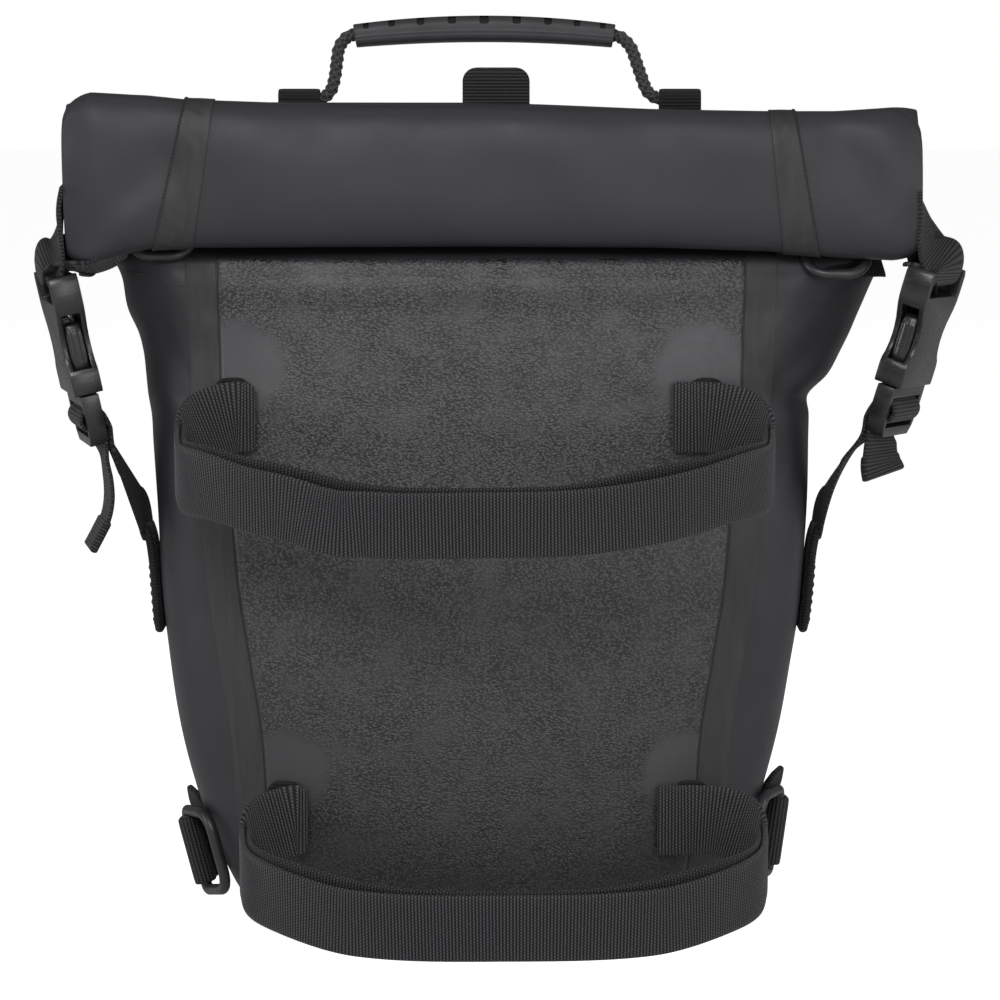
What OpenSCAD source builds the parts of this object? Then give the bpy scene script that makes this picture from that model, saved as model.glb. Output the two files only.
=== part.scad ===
// Roll-top waterproof tail bag for a motorcycle rack.
// Frame: origin at the middle of the flat base, +Z up, the rack-facing back panel towards -Y.

/* [Sack] */
// Width of the sack at half height
sack_w = 237; // [200:1:300]
// Depth of the sack at half height
sack_d = 114; // [100:1:160]
// Thickness of the tarpaulin wall
wall = 1.5; // [0.8:0.1:2.5]
// Thickness of the textured back panel
panel_t = 1.6; // [0.8:0.1:3]
// Thickness of the stiff board behind the back panel
board_t = 2.5; // [1:0.5:5]

/* [Roll] */
// Length of the rolled closure
roll_len = 303; // [280:1:330]
// Height of the flattened roll
roll_h = 53.2; // [40:1:60]
// Thickness of the flattened roll
roll_t = 25; // [20:1:30]
// Number of turns in the roll
roll_turns = 2.6; // [1.6:0.1:3]

/* [Webbing and straps] */
// Width of the webbing
web_w = 25; // [20:1:30]
// Thickness of one layer of webbing
web_t = 1.6; // [1:0.1:2]
// Thickness of one layer of a hook-and-loop strap
strap_t = 1.9; // [1.2:0.1:2.4]
// How far a strap loop reaches beyond its bend line
strap_reach = 64; // [40:1:90]

/* [Handle] */
// Length of the moulded grip
grip_len = 95; // [70:1:110]
// Height of the grip's section
grip_h = 11.6; // [9:0.1:15]
// Depth of the grip's section
grip_d = 13; // [10:0.5:20]
// Thickness of the braided cord
cord_d = 4.2; // [3:0.1:4.4]

/* [Buckles] */
// Overall width of the female buckle
buckle_w = 32; // [30:0.5:34]
// Thickness of the female buckle
buckle_t = 10.4; // [9.5:0.1:12]
// Length of the female buckle
female_len = 43; // [40:1:46]
// Length of the male buckle that shows below the female
male_len = 19; // [17:0.5:22]

/* [D-rings] */
// Thickness of a D-ring's bar
ring_bar = 3.6; // [2.5:0.1:4.5]
// Inside width of the upper D-rings
upper_ring_gap = 19; // [16:1:22]
// Inside width of the side D-rings
side_ring_gap = 26; // [25.5:0.5:30]

/* [Hidden] */

tarp = [0.23, 0.23, 0.25];
dark = [0.10, 0.10, 0.11];
plastic = [0.07, 0.07, 0.08];
rubber = [0.20, 0.20, 0.21];

eps = 0.01;
skin_gap = 0.4;             // air between a skin and the wall behind it
panel_gap = 0.6;            // air between the thick back panel and the wall behind it
fit_gap = 0.3;              // air between pieces that move on each other

// Sections of the sack from the base up, at the default width and depth:
// height, half width, centre x, back y, front y, squareness of the section
SECTIONS = [
    [0, 68, 0, -42, 42, 3],
    [3, 74, 0, -47, 47, 3],
    [8, 81, 0, -51, 51, 3],
    [16, 88, 0, -54, 54, 3.2],
    [28, 94, -0.5, -56, 56, 3.4],
    [44, 100, -0.8, -57, 57, 3.6],
    [62, 105, -1, -57, 57.5, 3.8],
    [102, 113, -1, -57, 58, 4],
    [150, 118, -1, -57, 57, 4],
    [180, 119.5, -1, -57, 53, 4],
    [198, 120.5, -1, -56.5, 45, 3.8],
    [212, 126, 2, -56, 36, 3.2],
    [227, 133, 3.5, -55, 24, 2.8],
    [242, 138, 5, -54, 8, 2.5],
    [247.5, 141, 5, -50, 2, 2.4],
    [250, 143, 5, -43, -1, 2.3],
    [253, 145, 4.4, -34, -4, 2.2],
    [264, 149, 3.5, -32, -14, 2.2],
    [276, 151, 3, -31.5, -20, 2.2],
    [288, 151.5, 2.8, -31.5, -23, 2.2],
    [297, 151.5, 2.8, -31.5, -23.5, 2.2]
];
SCALE_X = sack_w / 237;
SCALE_Y = sack_d / 114;
ring_n = 44;                // points round one section

// Half widths of the back panel by height
PANEL_EDGE = [
    [10, 71], [54, 75.9], [77, 77.3], [128, 85.6], [151, 87.6], [200, 91.8], [218, 92.2], [249, 93.4]
];

function spow(v, p) = sign(v) * pow(abs(v), p);

function row_at(rows, z, i = 0) =
    i >= len(rows) - 2 || z <= rows[i + 1][0] ? i : row_at(rows, z, i + 1);

function blend_rows(rows, z) =
    let (i = row_at(rows, z), f = (z - rows[i][0]) / (rows[i + 1][0] - rows[i][0]))
    rows[i] + max(0, min(1, f)) * (rows[i + 1] - rows[i]);

// Point at angle a on the sack's section at height z, moved in by inset
function sack_point(row, a, inset) =
    let (cy = (row[3] + row[4]) / 2 * SCALE_Y, hd = (row[4] - row[3]) / 2 * SCALE_Y - inset)
    [row[2] + (row[1] * SCALE_X - inset) * spow(cos(a), 2 / row[5]), cy + hd * spow(sin(a), 2 / row[5])];

// Depth of the sack's outer wall at x, z: side -1 is the back, +1 the front
function wall_y(x, z, side) =
    let (
        row = blend_rows(SECTIONS, z),
        u = min(1, abs(x - row[2]) / (row[1] * SCALE_X)),
        cy = (row[3] + row[4]) / 2 * SCALE_Y,
        hd = (row[4] - row[3]) / 2 * SCALE_Y
    )
    cy + side * hd * pow(1 - pow(u, row[5]), 1 / row[5]);

// Closed solid from rings of equal length: consecutive rings are joined, the ends are capped
module ring_loft(rings) {
    n = len(rings[0]);
    m = len(rings);
    points = [for (r = rings) each r];
    sides = [
        for (j = [0:m - 2])
            for (i = [0:n - 1])
                let (a = j * n + i, b = j * n + (i + 1) % n, c = a + n, d = b + n)
                each [[a, c, b], [b, c, d]]
    ];
    bottom = [[for (i = [0:n - 1]) i]];
    top = [[for (i = [n - 1:-1:0]) (m - 1) * n + i]];
    polyhedron(points, concat(sides, bottom, top), convexity = 6);
}

// Flat band along a path: each station is [x, y, z, nx, ny, nz], where n is the band's normal
function cross3(a, b) = [a[1] * b[2] - a[2] * b[1], a[2] * b[0] - a[0] * b[2], a[0] * b[1] - a[1] * b[0]];
function unit(v) = v / norm(v);
function pos3(s) = [s[0], s[1], s[2]];
function nor3(s) = unit([s[3], s[4], s[5]]);

module ribbon(path, w, t) {
    last = len(path) - 1;
    rings = [
        for (i = [0:last])
            let (
                ahead = pos3(path[min(i + 1, last)]),
                behind = pos3(path[max(i - 1, 0)]),
                along = unit(ahead - behind),
                across = unit(cross3(along, nor3(path[i]))),
                out = unit(cross3(across, along)),
                p = pos3(path[i])
            )
            [
                p + across * w / 2 - out * t / 2,
                p - across * w / 2 - out * t / 2,
                p - across * w / 2 + out * t / 2,
                p + across * w / 2 + out * t / 2
            ]
    ];
    ring_loft(rings);
}

// ---------------------------------------------------------------- sack and panels

module sack() {
    outer = [for (r = SECTIONS) [for (i = [0:ring_n - 1])
        let (p = sack_point(r, i * 360 / ring_n, 0)) [p[0], p[1], r[0]]]];
    inner_rows = [for (r = SECTIONS) if (r[0] >= 3) r];
    inner = [for (k = [len(inner_rows) - 1:-1:0]) [for (i = [0:ring_n - 1])
        let (r = inner_rows[k], p = sack_point(r, i * 360 / ring_n, wall)) [p[0], p[1], r[0]]]];
    color(tarp) ring_loft(concat(outer, inner));
}

// Sheet that follows the sack's wall, standing off by gap; rows are height, left edge, right edge
module wall_sheet(rows, cols, side, gap, t) {
    function across(r, off) = [for (c = [0:cols])
        let (x = r[1] + (r[2] - r[1]) * c / cols) [x, wall_y(x, r[0], side) + side * off, r[0]]];
    function flip(v) = [for (k = [len(v) - 1:-1:0]) v[k]];
    near_off = side < 0 ? gap + t : gap;
    far_off = side < 0 ? gap : gap + t;
    ring_loft([for (r = rows) concat(across(r, near_off), flip(across(r, far_off)))]);
}

module back_panel() {
    heights = [12, 16, 22, 28, 36, 44, 53, 62, 82, 102, 126, 150, 165, 180, 189, 198, 205, 212, 220, 227,
        235, 242, 247];
    rows = [for (z = heights)
        let (e = blend_rows(PANEL_EDGE, z)[1]) [z, -e - 0.5, e - 0.5]];
    color(rubber) wall_sheet(rows, 20, -1, panel_gap, panel_t);
}

module back_board() {
    rows = [for (z = [30, 62, 102, 152, 198, 228]) [z, -76, 74]];
    color(dark) wall_sheet(rows, 8, -1, -wall - skin_gap - board_t, board_t);
}

module base_board() {
    base_z = 3 + skin_gap;
    row = blend_rows(SECTIONS, base_z);
    color(dark) translate([0, 0, base_z]) linear_extrude(board_t)
        polygon([for (i = [0:31]) sack_point(row, i * 360 / 32, wall + 1.5)]);
}

tape_w = 9;
module side_tape(side) {
    rows = [for (z = [60, 90, 128, 160, 198, 212, 228, 240])
        let (e = blend_rows(PANEL_EDGE, z)[1] + 2)
        side < 0 ? [z, -e - tape_w - 0.5, -e - 0.5] : [z, e - 0.5, e + tape_w - 0.5]];
    color(tarp) wall_sheet(rows, 3, -1, skin_gap, 0.6);
}

// ---------------------------------------------------------------- rolled closure

roll_y = -50.5;
roll_z = 275.6;
roll_x = 2.8;
roll_sheet = 2.0;
roll_pitch = 3.2;
roll_square = 3;
roll_steps = 18;            // stations in one turn
roll_start = 55;            // angle at which the mouth's sheet joins the roll

function roll_point(a) =
    let (shrink = roll_pitch * (a - roll_start) / 360 + roll_sheet / 2)
    [
        roll_y + (roll_t / 2 - shrink) * spow(cos(a), 2 / roll_square),
        roll_z + (roll_h / 2 - shrink) * spow(sin(a), 2 / roll_square)
    ];

ROLL_PATH = concat(
    [[-25, 298.3], [-31.5, 300.6]],
    [for (k = [0:roll_turns * roll_steps]) roll_point(roll_start + k * 360 / roll_steps)]
);

function path_normal(path, i) =
    let (a = path[max(i - 1, 0)], b = path[min(i + 1, len(path) - 1)], d = unit(b - a)) [d[1], -d[0]];

module rolled_top() {
    last = len(ROLL_PATH) - 1;
    outer = [for (i = [0:last]) ROLL_PATH[i] + path_normal(ROLL_PATH, i) * roll_sheet / 2];
    inner = [for (i = [last:-1:0]) ROLL_PATH[i] - path_normal(ROLL_PATH, i) * roll_sheet / 2];
    color(tarp) translate([roll_x - roll_len / 2, 0, 0]) rotate([90, 0, 90])
        linear_extrude(roll_len) polygon(concat(outer, inner));
}

module roll_stiffener() {
    strip_h = 24;
    strip_t = 2;
    color(dark) translate([roll_x - roll_len / 2 + 8, roll_y - strip_t / 2, roll_z - strip_h / 2])
        cube([roll_len - 16, strip_t, strip_h]);
}

// Tape across the front of the roll from top to bottom, leaning outwards
module roll_tape(x_top, x_bottom) {
    front = [for (a = [100, 120, 140, 160, 180, 200, 220, 240, 262])
        let (
            y = roll_y + (roll_t / 2 + 0.55) * spow(cos(a), 2 / roll_square),
            z = roll_z + (roll_h / 2 + 0.55) * spow(sin(a), 2 / roll_square),
            f = (roll_z + roll_h / 2 - z) / roll_h
        )
        [x_top + (x_bottom - x_top) * f, y, z, 0, cos(a), sin(a)]];
    color(dark) ribbon(front, 12, 0.7);
}

// ---------------------------------------------------------------- handle

pivot_y = -19.5;
pivot_z = 302.4;
tab_len = 15;
CORD_LEFT_X = -57;          // inner end of the left tab
CORD_RIGHT_X = 62;          // inner end of the right tab
grip_x = 0.6;
grip_z = 334;               // top of the grip at its middle
arch_r = 284;               // radius of the grip's arch
tab_in = cord_d / 2 + 0.2;
tab_out = tab_in + web_t;
cord_z = grip_z - grip_h / 2;

function arch(x) = [x, pivot_y, cord_z - arch_r + sqrt(arch_r * arch_r - (x - grip_x) * (x - grip_x))];

CORD_ROUTE = concat(
    [
        [CORD_LEFT_X - 4, pivot_y, pivot_z], [CORD_LEFT_X, pivot_y, pivot_z + 0.1],
        [CORD_LEFT_X + 2.6, pivot_y, pivot_z + 3], [CORD_LEFT_X + 4.2, pivot_y, pivot_z + 8],
        [CORD_LEFT_X + 5, pivot_y, pivot_z + 14], [CORD_LEFT_X + 6, pivot_y, pivot_z + 19],
        [CORD_LEFT_X + 8.6, pivot_y, pivot_z + 22.2]
    ],
    [for (x = [-40:10:40]) arch(grip_x + x)],
    [
        [CORD_RIGHT_X - 12.4, pivot_y, pivot_z + 22], [CORD_RIGHT_X - 9.4, pivot_y, pivot_z + 19],
        [CORD_RIGHT_X - 7, pivot_y, pivot_z + 13], [CORD_RIGHT_X - 5, pivot_y, pivot_z + 7.4],
        [CORD_RIGHT_X - 3, pivot_y, pivot_z + 2.8], [CORD_RIGHT_X, pivot_y, pivot_z + 0.1],
        [CORD_RIGHT_X + 4, pivot_y, pivot_z]
    ]
);

// Round tube along a route that stays in one plane square to Y
module cord_tube(route, d) {
    sides = 8;
    last = len(route) - 1;
    rings = [
        for (i = [0:last])
            let (along = unit(route[min(i + 1, last)] - route[max(i - 1, 0)]), up = cross3(along, [0, 1, 0]))
            [for (k = [0:sides - 1])
                let (a = -k * 360 / sides) route[i] + up * cos(a) * d / 2 + [0, 1, 0] * sin(a) * d / 2]
    ];
    ring_loft(rings);
}

module handle_cord() {
    color(dark) union() {
        cord_tube(CORD_ROUTE, cord_d);
        translate([CORD_LEFT_X - tab_len, pivot_y, pivot_z]) rotate([0, 90, 0])
            cylinder(d = cord_d, h = tab_len - 2, $fn = 32);
        translate([CORD_RIGHT_X + 2, pivot_y, pivot_z]) rotate([0, 90, 0])
            cylinder(d = cord_d, h = tab_len - 2, $fn = 32);
    }
}

module grip_section() {
    round_r = 3;
    difference() {
        union() {
            translate([-grip_h / 2 + round_r, -grip_d / 2]) square([grip_h - 2 * round_r, grip_d]);
            translate([-grip_h / 2, -grip_d / 2 + round_r]) square([grip_h, grip_d - 2 * round_r]);
            for (x = [-1, 1], y = [-1, 1])
                translate([x * (grip_h / 2 - round_r), y * (grip_d / 2 - round_r)]) circle(round_r, $fn = 32);
        }
        circle(d = cord_d + 0.5, $fn = 32);
    }
}

module handle_grip() {
    half_angle = asin(grip_len / 2 / arch_r);
    color(rubber) translate([grip_x, pivot_y, cord_z - arch_r]) rotate([90, 0, 0])
        rotate([0, 0, 90 - half_angle])
            rotate_extrude(angle = 2 * half_angle, $fn = 180) translate([arch_r, 0]) grip_section();
}

// Webbing tab that wraps the end of the handle cord and is sewn down the front of the neck
module handle_tab(x_low) {
    color(dark) translate([x_low, pivot_y, pivot_z]) rotate([90, 0, 90]) difference() {
        union() {
            cylinder(r = tab_out, h = tab_len, $fn = 48);
            linear_extrude(tab_len) polygon([
                [tab_out, 0], [tab_out - web_t, 0], [1.6, -11], [4.4, -24], [5.8, -24], [tab_out + 0.2, -11]
            ]);
        }
        translate([0, 0, -1]) cylinder(r = tab_in, h = tab_len + 2, $fn = 48);
    }
}

module handle_tab_left() {
    handle_tab(CORD_LEFT_X - tab_len - 1);
}

module handle_tab_right() {
    handle_tab(CORD_RIGHT_X + 1);
}

// Folded loop of webbing standing up behind the middle of the roll
loop_x = 4.8;
loop_w = 24;
loop_top = 313.8;
module top_loop() {
    r_out = 3.1;
    leg = 24;
    color(dark) translate([loop_x - loop_w / 2, pivot_y + 0.8, loop_top - r_out]) rotate([90, 0, 90])
        linear_extrude(loop_w) difference() {
            union() {
                circle(r_out, $fn = 48);
                translate([-r_out, -leg]) square([2 * r_out, leg]);
            }
            circle(r_out - web_t, $fn = 48);
            translate([web_t - r_out, -leg + 3]) square([2 * (r_out - web_t), leg - 3]);
        }
}

module front_strip() {
    rows = [for (z = [70, 102, 150, 180, 198, 212, 227, 242, 253, 264, 276, 284])
        [z, loop_x - web_w / 2, loop_x + web_w / 2]];
    color(dark) wall_sheet(rows, 2, 1, skin_gap, web_t);
}

// ---------------------------------------------------------------- side-release buckles

// Where each buckle hangs: top middle, bottom middle, and turn about its own length
BUCKLE_LEFT = [[-151.5, -42, 241.5], [-139.6, -36, 186], 15];
BUCKLE_RIGHT = [[161, -45, 243.5], [146, -38, 191.5], 27];

plate = 1.9;                // face plate of the female
channel_w = 25.8;           // inside of the female, across
window_low = 9;
window_high = 29;
arm_len = 26;
arm_t = buckle_t - 2 * plate - 2 * fit_gap;
root_x = 8.6;               // where each prong bends, from the buckle's middle
root_s = 0.7;               // and above its mouth
knuckle_r = 1.2;            // round root of a prong

// Puts a buckle built along +Z, with its width along Y, into place on one side
module at_buckle(b, side) {
    along = unit(b[0] - b[1]);
    lean_x = atan2(along[0], norm([along[1], along[2]]));
    lean_y = atan2(along[1], along[2]);
    translate(b[0] - along * female_len) rotate([-lean_y, 0, 0]) rotate([0, lean_x, 0])
        rotate([0, 0, -side * b[2]]) children();
}

// Half outline of the female's face, from the mouth up: distance from the middle, height
FEMALE_EDGE = [
    [14.6, 0], [14.9, 1.2], [14.9, 7], [14.3, window_low], [12.6, 11], [11.5, 14], [11.1, 17], [11.3, 20],
    [12.2, 23.2], [13.6, 26], [14.9, 28.6], [15.7, 31.5], [16, 35], [16, 41], [15, 43]
];

function edge_scale(p) = [p[0] * buckle_w / 32, p[1] * female_len / 43];

module female_face() {
    right = [for (p = FEMALE_EDGE) edge_scale(p)];
    left = [for (k = [len(right) - 1:-1:0]) [-right[k][0], right[k][1]]];
    polygon(concat(right, left));
}

module female() {
    color(plastic) rotate([90, 0, 90]) translate([0, 0, -buckle_t / 2]) difference() {
        linear_extrude(buckle_t) female_face();
        // channel for the male
        translate([-channel_w / 2, -1, plate]) cube([channel_w, 31, buckle_t - 2 * plate]);
        // side windows for the prongs
        for (s = [-1, 1])
            translate([s * buckle_w / 2 - 5, window_low, plate])
                cube([10, window_high - window_low, buckle_t - 2 * plate]);
        // slot for the webbing, below the top bar
        translate([-13.2, 33.6, -1]) cube([26.4, 5.4, buckle_t + 2]);
        // the back of the slot's upper half is open so that the webbing bends round the bar
        translate([-13.2, 33.6, buckle_t - 3]) cube([26.4, 10, 4]);
        translate([-13.2, 33.6, -1]) cube([26.4, 10, 4]);
    }
}

module male() {
    lock_t = 6.4;
    color(plastic) rotate([90, 0, 90]) translate([0, 0, -lock_t / 2]) {
        difference() {
            linear_extrude(lock_t) polygon([
                [14.9, -0.6], [15.2, -3], [15.2, -10], [13.6, -male_len + 3], [11.5, -male_len],
                [-11.5, -male_len], [-13.6, -male_len + 3], [-15.2, -10], [-15.2, -3], [-14.9, -0.6]
            ]);
            translate([-12.7, -8.4, -1]) cube([25.4, 4, lock_t + 2]);
            translate([-12.2, -15.6, -1]) cube([24.4, 4.2, lock_t + 2]);
        }
        // tongue that keeps the male straight in the female
        translate([-2.6, -1, lock_t / 2 - 1.6]) cube([5.2, 27, 3.2]);
        // round seats that carry the prongs
        for (s = [-1, 1])
            translate([s * root_x, 0, lock_t / 2 - arm_t / 2 + 0.1]) difference() {
                translate([-2.4, -1, 0]) cube([4.8, 1.6, arm_t - 0.2]);
                translate([0, root_s, -1]) cylinder(r = knuckle_r + fit_gap, h = arm_t + 2, $fn = 32);
            }
    }
}

// One springy prong with its finger pad; side +1 or -1 across the buckle
module prong(side) {
    color(plastic) rotate([90, 0, 90]) translate([0, 0, -arm_t / 2]) {
        linear_extrude(arm_t) polygon([for (p = [
            [7.5, root_s], [9.7, root_s], [11.2, 6], [12.4, 11], [12.55, 15], [12.55, 22], [11.6, 25],
            [9.4, arm_len], [8.8, 25], [10.2, 21], [10.2, 13], [8.6, 6]
        ]) [side * p[0], p[1]]]);
        translate([side * root_x, root_s, 0]) cylinder(r = knuckle_r, h = arm_t, $fn = 32);
    }
}

module buckle_female_left() {
    at_buckle(BUCKLE_LEFT, -1) female();
}

module buckle_female_right() {
    at_buckle(BUCKLE_RIGHT, 1) female();
}

module buckle_male_left() {
    at_buckle(BUCKLE_LEFT, -1) male();
}

module buckle_male_right() {
    at_buckle(BUCKLE_RIGHT, 1) male();
}

module prong_left_near() {
    at_buckle(BUCKLE_LEFT, -1) prong(-1);
}

module prong_left_far() {
    at_buckle(BUCKLE_LEFT, -1) prong(1);
}

module prong_right_near() {
    at_buckle(BUCKLE_RIGHT, 1) prong(-1);
}

module prong_right_far() {
    at_buckle(BUCKLE_RIGHT, 1) prong(1);
}

// ---------------------------------------------------------------- webbing of the closure

// Outward normal of the left and right buckle faces
function face_normal(b, side) = [side * cos(b[2]), -sin(b[2]), 0];

// Station on a buckle's own length, s millimetres above its mouth and off millimetres off its middle
function on_buckle(b, side, s, off) =
    let (along = unit(b[0] - b[1]), n = face_normal(b, side), p = b[0] - along * (female_len - s) + n * off)
    [p[0], p[1], p[2], n[0], n[1], n[2]];

// Loop of webbing round the bar at the top of a female buckle
bar_s = 41;                 // height of that bar's middle above the mouth
module bar_loop() {
    loop_in = 3.1;
    translate([-web_w / 2, 0, bar_s]) rotate([90, 0, 90]) difference() {
        cylinder(r = loop_in + web_t, h = web_w, $fn = 48);
        translate([0, 0, -1]) cylinder(r = loop_in, h = web_w + 2, $fn = 48);
    }
}

module roll_webbing(b, side) {
    end_x = roll_x + side * (roll_len / 2 + 2.4);
    color(dark) union() {
        ribbon([
            [end_x - side * 0.6, roll_y + 1, roll_z - 1, side, 0, 0],
            [end_x, roll_y + 1.5, roll_z - 10, side, 0, 0],
            on_buckle(b, side, female_len + 12, 0.6),
            on_buckle(b, side, bar_s + 3.4, 0)
        ], web_w, 2 * web_t);
        at_buckle(b, side) rotate([0, 0, 90]) bar_loop();
    }
}

module roll_webbing_left() {
    roll_webbing(BUCKLE_LEFT, -1);
}

module roll_webbing_right() {
    roll_webbing(BUCKLE_RIGHT, 1);
}

tab_y = -10;
tab_top = 148;
tab_low = 109;
tab_t = 3.2;

function side_x(z, side) =
    let (row = blend_rows(SECTIONS, z)) row[2] + side * row[1] * SCALE_X;

module side_tab(side) {
    gap = 0.5;
    steps = [tab_low, tab_low + 13, tab_low + 26, tab_top];
    color(dark) ribbon([for (z = steps) [side_x(z, side) + side * (gap + tab_t / 2), tab_y, z, side, 0, 0]],
        web_w, tab_t);
}

module side_tab_left() {
    side_tab(-1);
}

module side_tab_right() {
    side_tab(1);
}

function bezier(p, f) =
    let (g = 1 - f)
    g * g * g * p[0] + 3 * g * g * f * p[1] + 3 * g * f * f * p[2] + f * f * f * p[3];

module adjuster(b, side) {
    along = unit(b[0] - b[1]);
    low = [side_x(tab_top, side) + side * (0.5 + tab_t / 2), tab_y, tab_top + 2.6];
    start = on_buckle(b, side, -male_len - 3.4, -1);
    curve = [pos3(start), pos3(start) - along * 12, low + [side * 2, 0, 18], low];
    color(dark) ribbon([
        for (k = [0:6])
            let (f = k / 6, p = bezier(curve, f), n = nor3(start) * (1 - f) + [side, 0, 0] * f)
            [p[0], p[1], p[2], n[0], n[1], n[2]]
    ], web_w - 0.6, web_t);
}

module adjuster_left() {
    adjuster(BUCKLE_LEFT, -1);
}

module adjuster_right() {
    adjuster(BUCKLE_RIGHT, 1);
}

// Free end of the adjuster webbing hanging from the outer face of the ladder lock
tail_off = 6;               // from the middle of the lock to the middle of the webbing
module tail(b, side, drop, swing) {
    start = on_buckle(b, side, -male_len + 2, tail_off);
    color(dark) ribbon([
        on_buckle(b, side, -male_len + 9, tail_off),
        start,
        [start[0] + swing * 0.4, start[1], start[2] - drop * 0.5, side * cos(b[2]), -sin(b[2]), 0],
        [start[0] + swing, start[1], start[2] - drop, side * cos(b[2]), -sin(b[2]), 0]
    ], web_w - 0.6, web_t);
}

module tail_left() {
    tail(BUCKLE_LEFT, -1, 44, 9);
}

module tail_right() {
    tail(BUCKLE_RIGHT, 1, 20, -2);
}

// ---------------------------------------------------------------- D-rings

// D-ring lying in the XY plane: straight bar along X through the origin, bow towards -Y
module d_ring(gap, depth, bar) {
    half = gap / 2 + bar / 2;
    bow_r = 6;
    rotate([0, 90, 0]) translate([0, 0, -half]) cylinder(d = bar, h = 2 * half, $fn = 32);
    for (s = [-1, 1]) {
        translate([s * half, 0, 0]) sphere(d = bar, $fn = 32);
        translate([s * half, 0, 0]) rotate([90, 0, 0]) cylinder(d = bar, h = depth - bow_r, $fn = 32);
        translate([s * (half - bow_r), -depth + bow_r, 0]) rotate([0, 0, s > 0 ? 270 : 180])
            rotate_extrude(angle = 90, $fn = 64) translate([bow_r, 0]) circle(d = bar, $fn = 32);
    }
    translate([-(half - bow_r), -depth, 0]) rotate([0, 90, 0])
        cylinder(d = bar, h = 2 * (half - bow_r), $fn = 32);
}

// Upper rings: middle x, bar y, bar z, lean forward from vertical, reach of the bow
UPPER_LEFT = [-113.6, -35.7, 259, 40, 15];
UPPER_RIGHT = [125, -39.4, 253.8, 45, 17.5];

module upper_ring(u) {
    color(plastic) translate([u[0], u[1], u[2]]) rotate([90 - u[3], 0, 0])
        d_ring(upper_ring_gap, u[4], ring_bar);
}

module upper_ring_left() {
    upper_ring(UPPER_LEFT);
}

module upper_ring_right() {
    upper_ring(UPPER_RIGHT);
}

// Webbing folded round a ring's bar with a tail: a ring section along X with a flat tail towards +Y
module bar_wrap(w, bar, tail_len, rise) {
    r_in = bar / 2 + fit_gap;
    translate([-w / 2, 0, 0]) rotate([90, 0, 90]) difference() {
        union() {
            cylinder(r = r_in + web_t, h = w, $fn = 48);
            linear_extrude(w) polygon([
                [0, r_in], [0, r_in + web_t], [tail_len, rise + web_t], [tail_len, rise]
            ]);
        }
        translate([0, 0, -1]) cylinder(r = r_in, h = w + 2, $fn = 48);
    }
}

module upper_ring_tab(u) {
    color(dark) translate([u[0], u[1], u[2]]) rotate([75, 0, 0])
        bar_wrap(upper_ring_gap - 1, ring_bar, 11, 0.4);
}

module upper_ring_tab_left() {
    upper_ring_tab(UPPER_LEFT);
}

module upper_ring_tab_right() {
    upper_ring_tab(UPPER_RIGHT);
}

// Side rings: bar x, y, z, turn about the bar towards the body, lean of the bar with the sack's slope
SIDE_LEFT = [-103.5, -18, 31.5, 24, 15];
SIDE_RIGHT = [105.5, -14, 38, 20, 8];
side_depth = 22;
side_bar = ring_bar + 0.4;

module at_side(p, side) {
    translate([p[0], p[1], p[2]]) rotate([0, side * p[4], 0]) children();
}

module side_ring(p, side) {
    color(plastic) at_side(p, side) rotate([0, 0, -side * p[3]]) rotate([0, 90, 0])
        d_ring(side_ring_gap, side_depth, side_bar);
}

module side_ring_left() {
    side_ring(SIDE_LEFT, -1);
}

module side_ring_right() {
    side_ring(SIDE_RIGHT, 1);
}

module side_ring_tab(p, side) {
    color(dark) at_side(p, side) rotate([0, side * 90, 0])
        bar_wrap(side_ring_gap - 1.2, side_bar, 32, -4.2);
}

module side_ring_tab_left() {
    side_ring_tab(SIDE_LEFT, -1);
}

module side_ring_tab_right() {
    side_ring_tab(SIDE_RIGHT, 1);
}

// ---------------------------------------------------------------- hook-and-loop straps

// Each strap: middle x, half width, bend line y and z, droop, inner end of the left and right roots
UPPER_STRAP = [-2.6, 102.6, -72, 187, 22, -80, 67];
LOWER_STRAP = [7.5, 90.6, -72, 44, 17, -62, 62];
strap_square = 2.6;
knuckle = web_w / 2;
root_gap = 0.9;             // air round a strap where it bends at its root

function strap_edge(s, out) = [for (a = [0:6:180])
    [
        s[0] + (s[1] + out) * spow(cos(a), 2 / strap_square),
        -(strap_reach + out) * spow(sin(a), 2 / strap_square)
    ]];

// Layer of a strap between two offsets from its middle line, with round ends on the bend line
module strap_layer(s, low, high) {
    outer = strap_edge(s, high);
    inner = strap_edge(s, low);
    n = len(outer) - 1;
    outline = concat(
        [[outer[0][0], knuckle]], outer, [[outer[n][0], knuckle]],
        [[inner[n][0], knuckle]], [for (k = [n:-1:0]) inner[k]], [[inner[0][0], knuckle]]
    );
    color(dark) translate([0, s[2], s[3]]) rotate([s[4], 0, 0]) intersection() {
        translate([0, 0, -web_w / 2]) linear_extrude(web_w) polygon(outline);
        union() {
            translate([-200, -200, -web_w]) cube([400, 200, 2 * web_w]);
            translate([-200, 0, 0]) rotate([0, 90, 0]) cylinder(r = knuckle, h = 400, $fn = 64);
        }
    }
}

module upper_strap_outer() {
    strap_layer(UPPER_STRAP, 0, strap_t);
}

module upper_strap_inner() {
    strap_layer(UPPER_STRAP, -strap_t, 0);
}

module lower_strap_outer() {
    strap_layer(LOWER_STRAP, 0, strap_t);
}

module lower_strap_inner() {
    strap_layer(LOWER_STRAP, -strap_t, 0);
}

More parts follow.
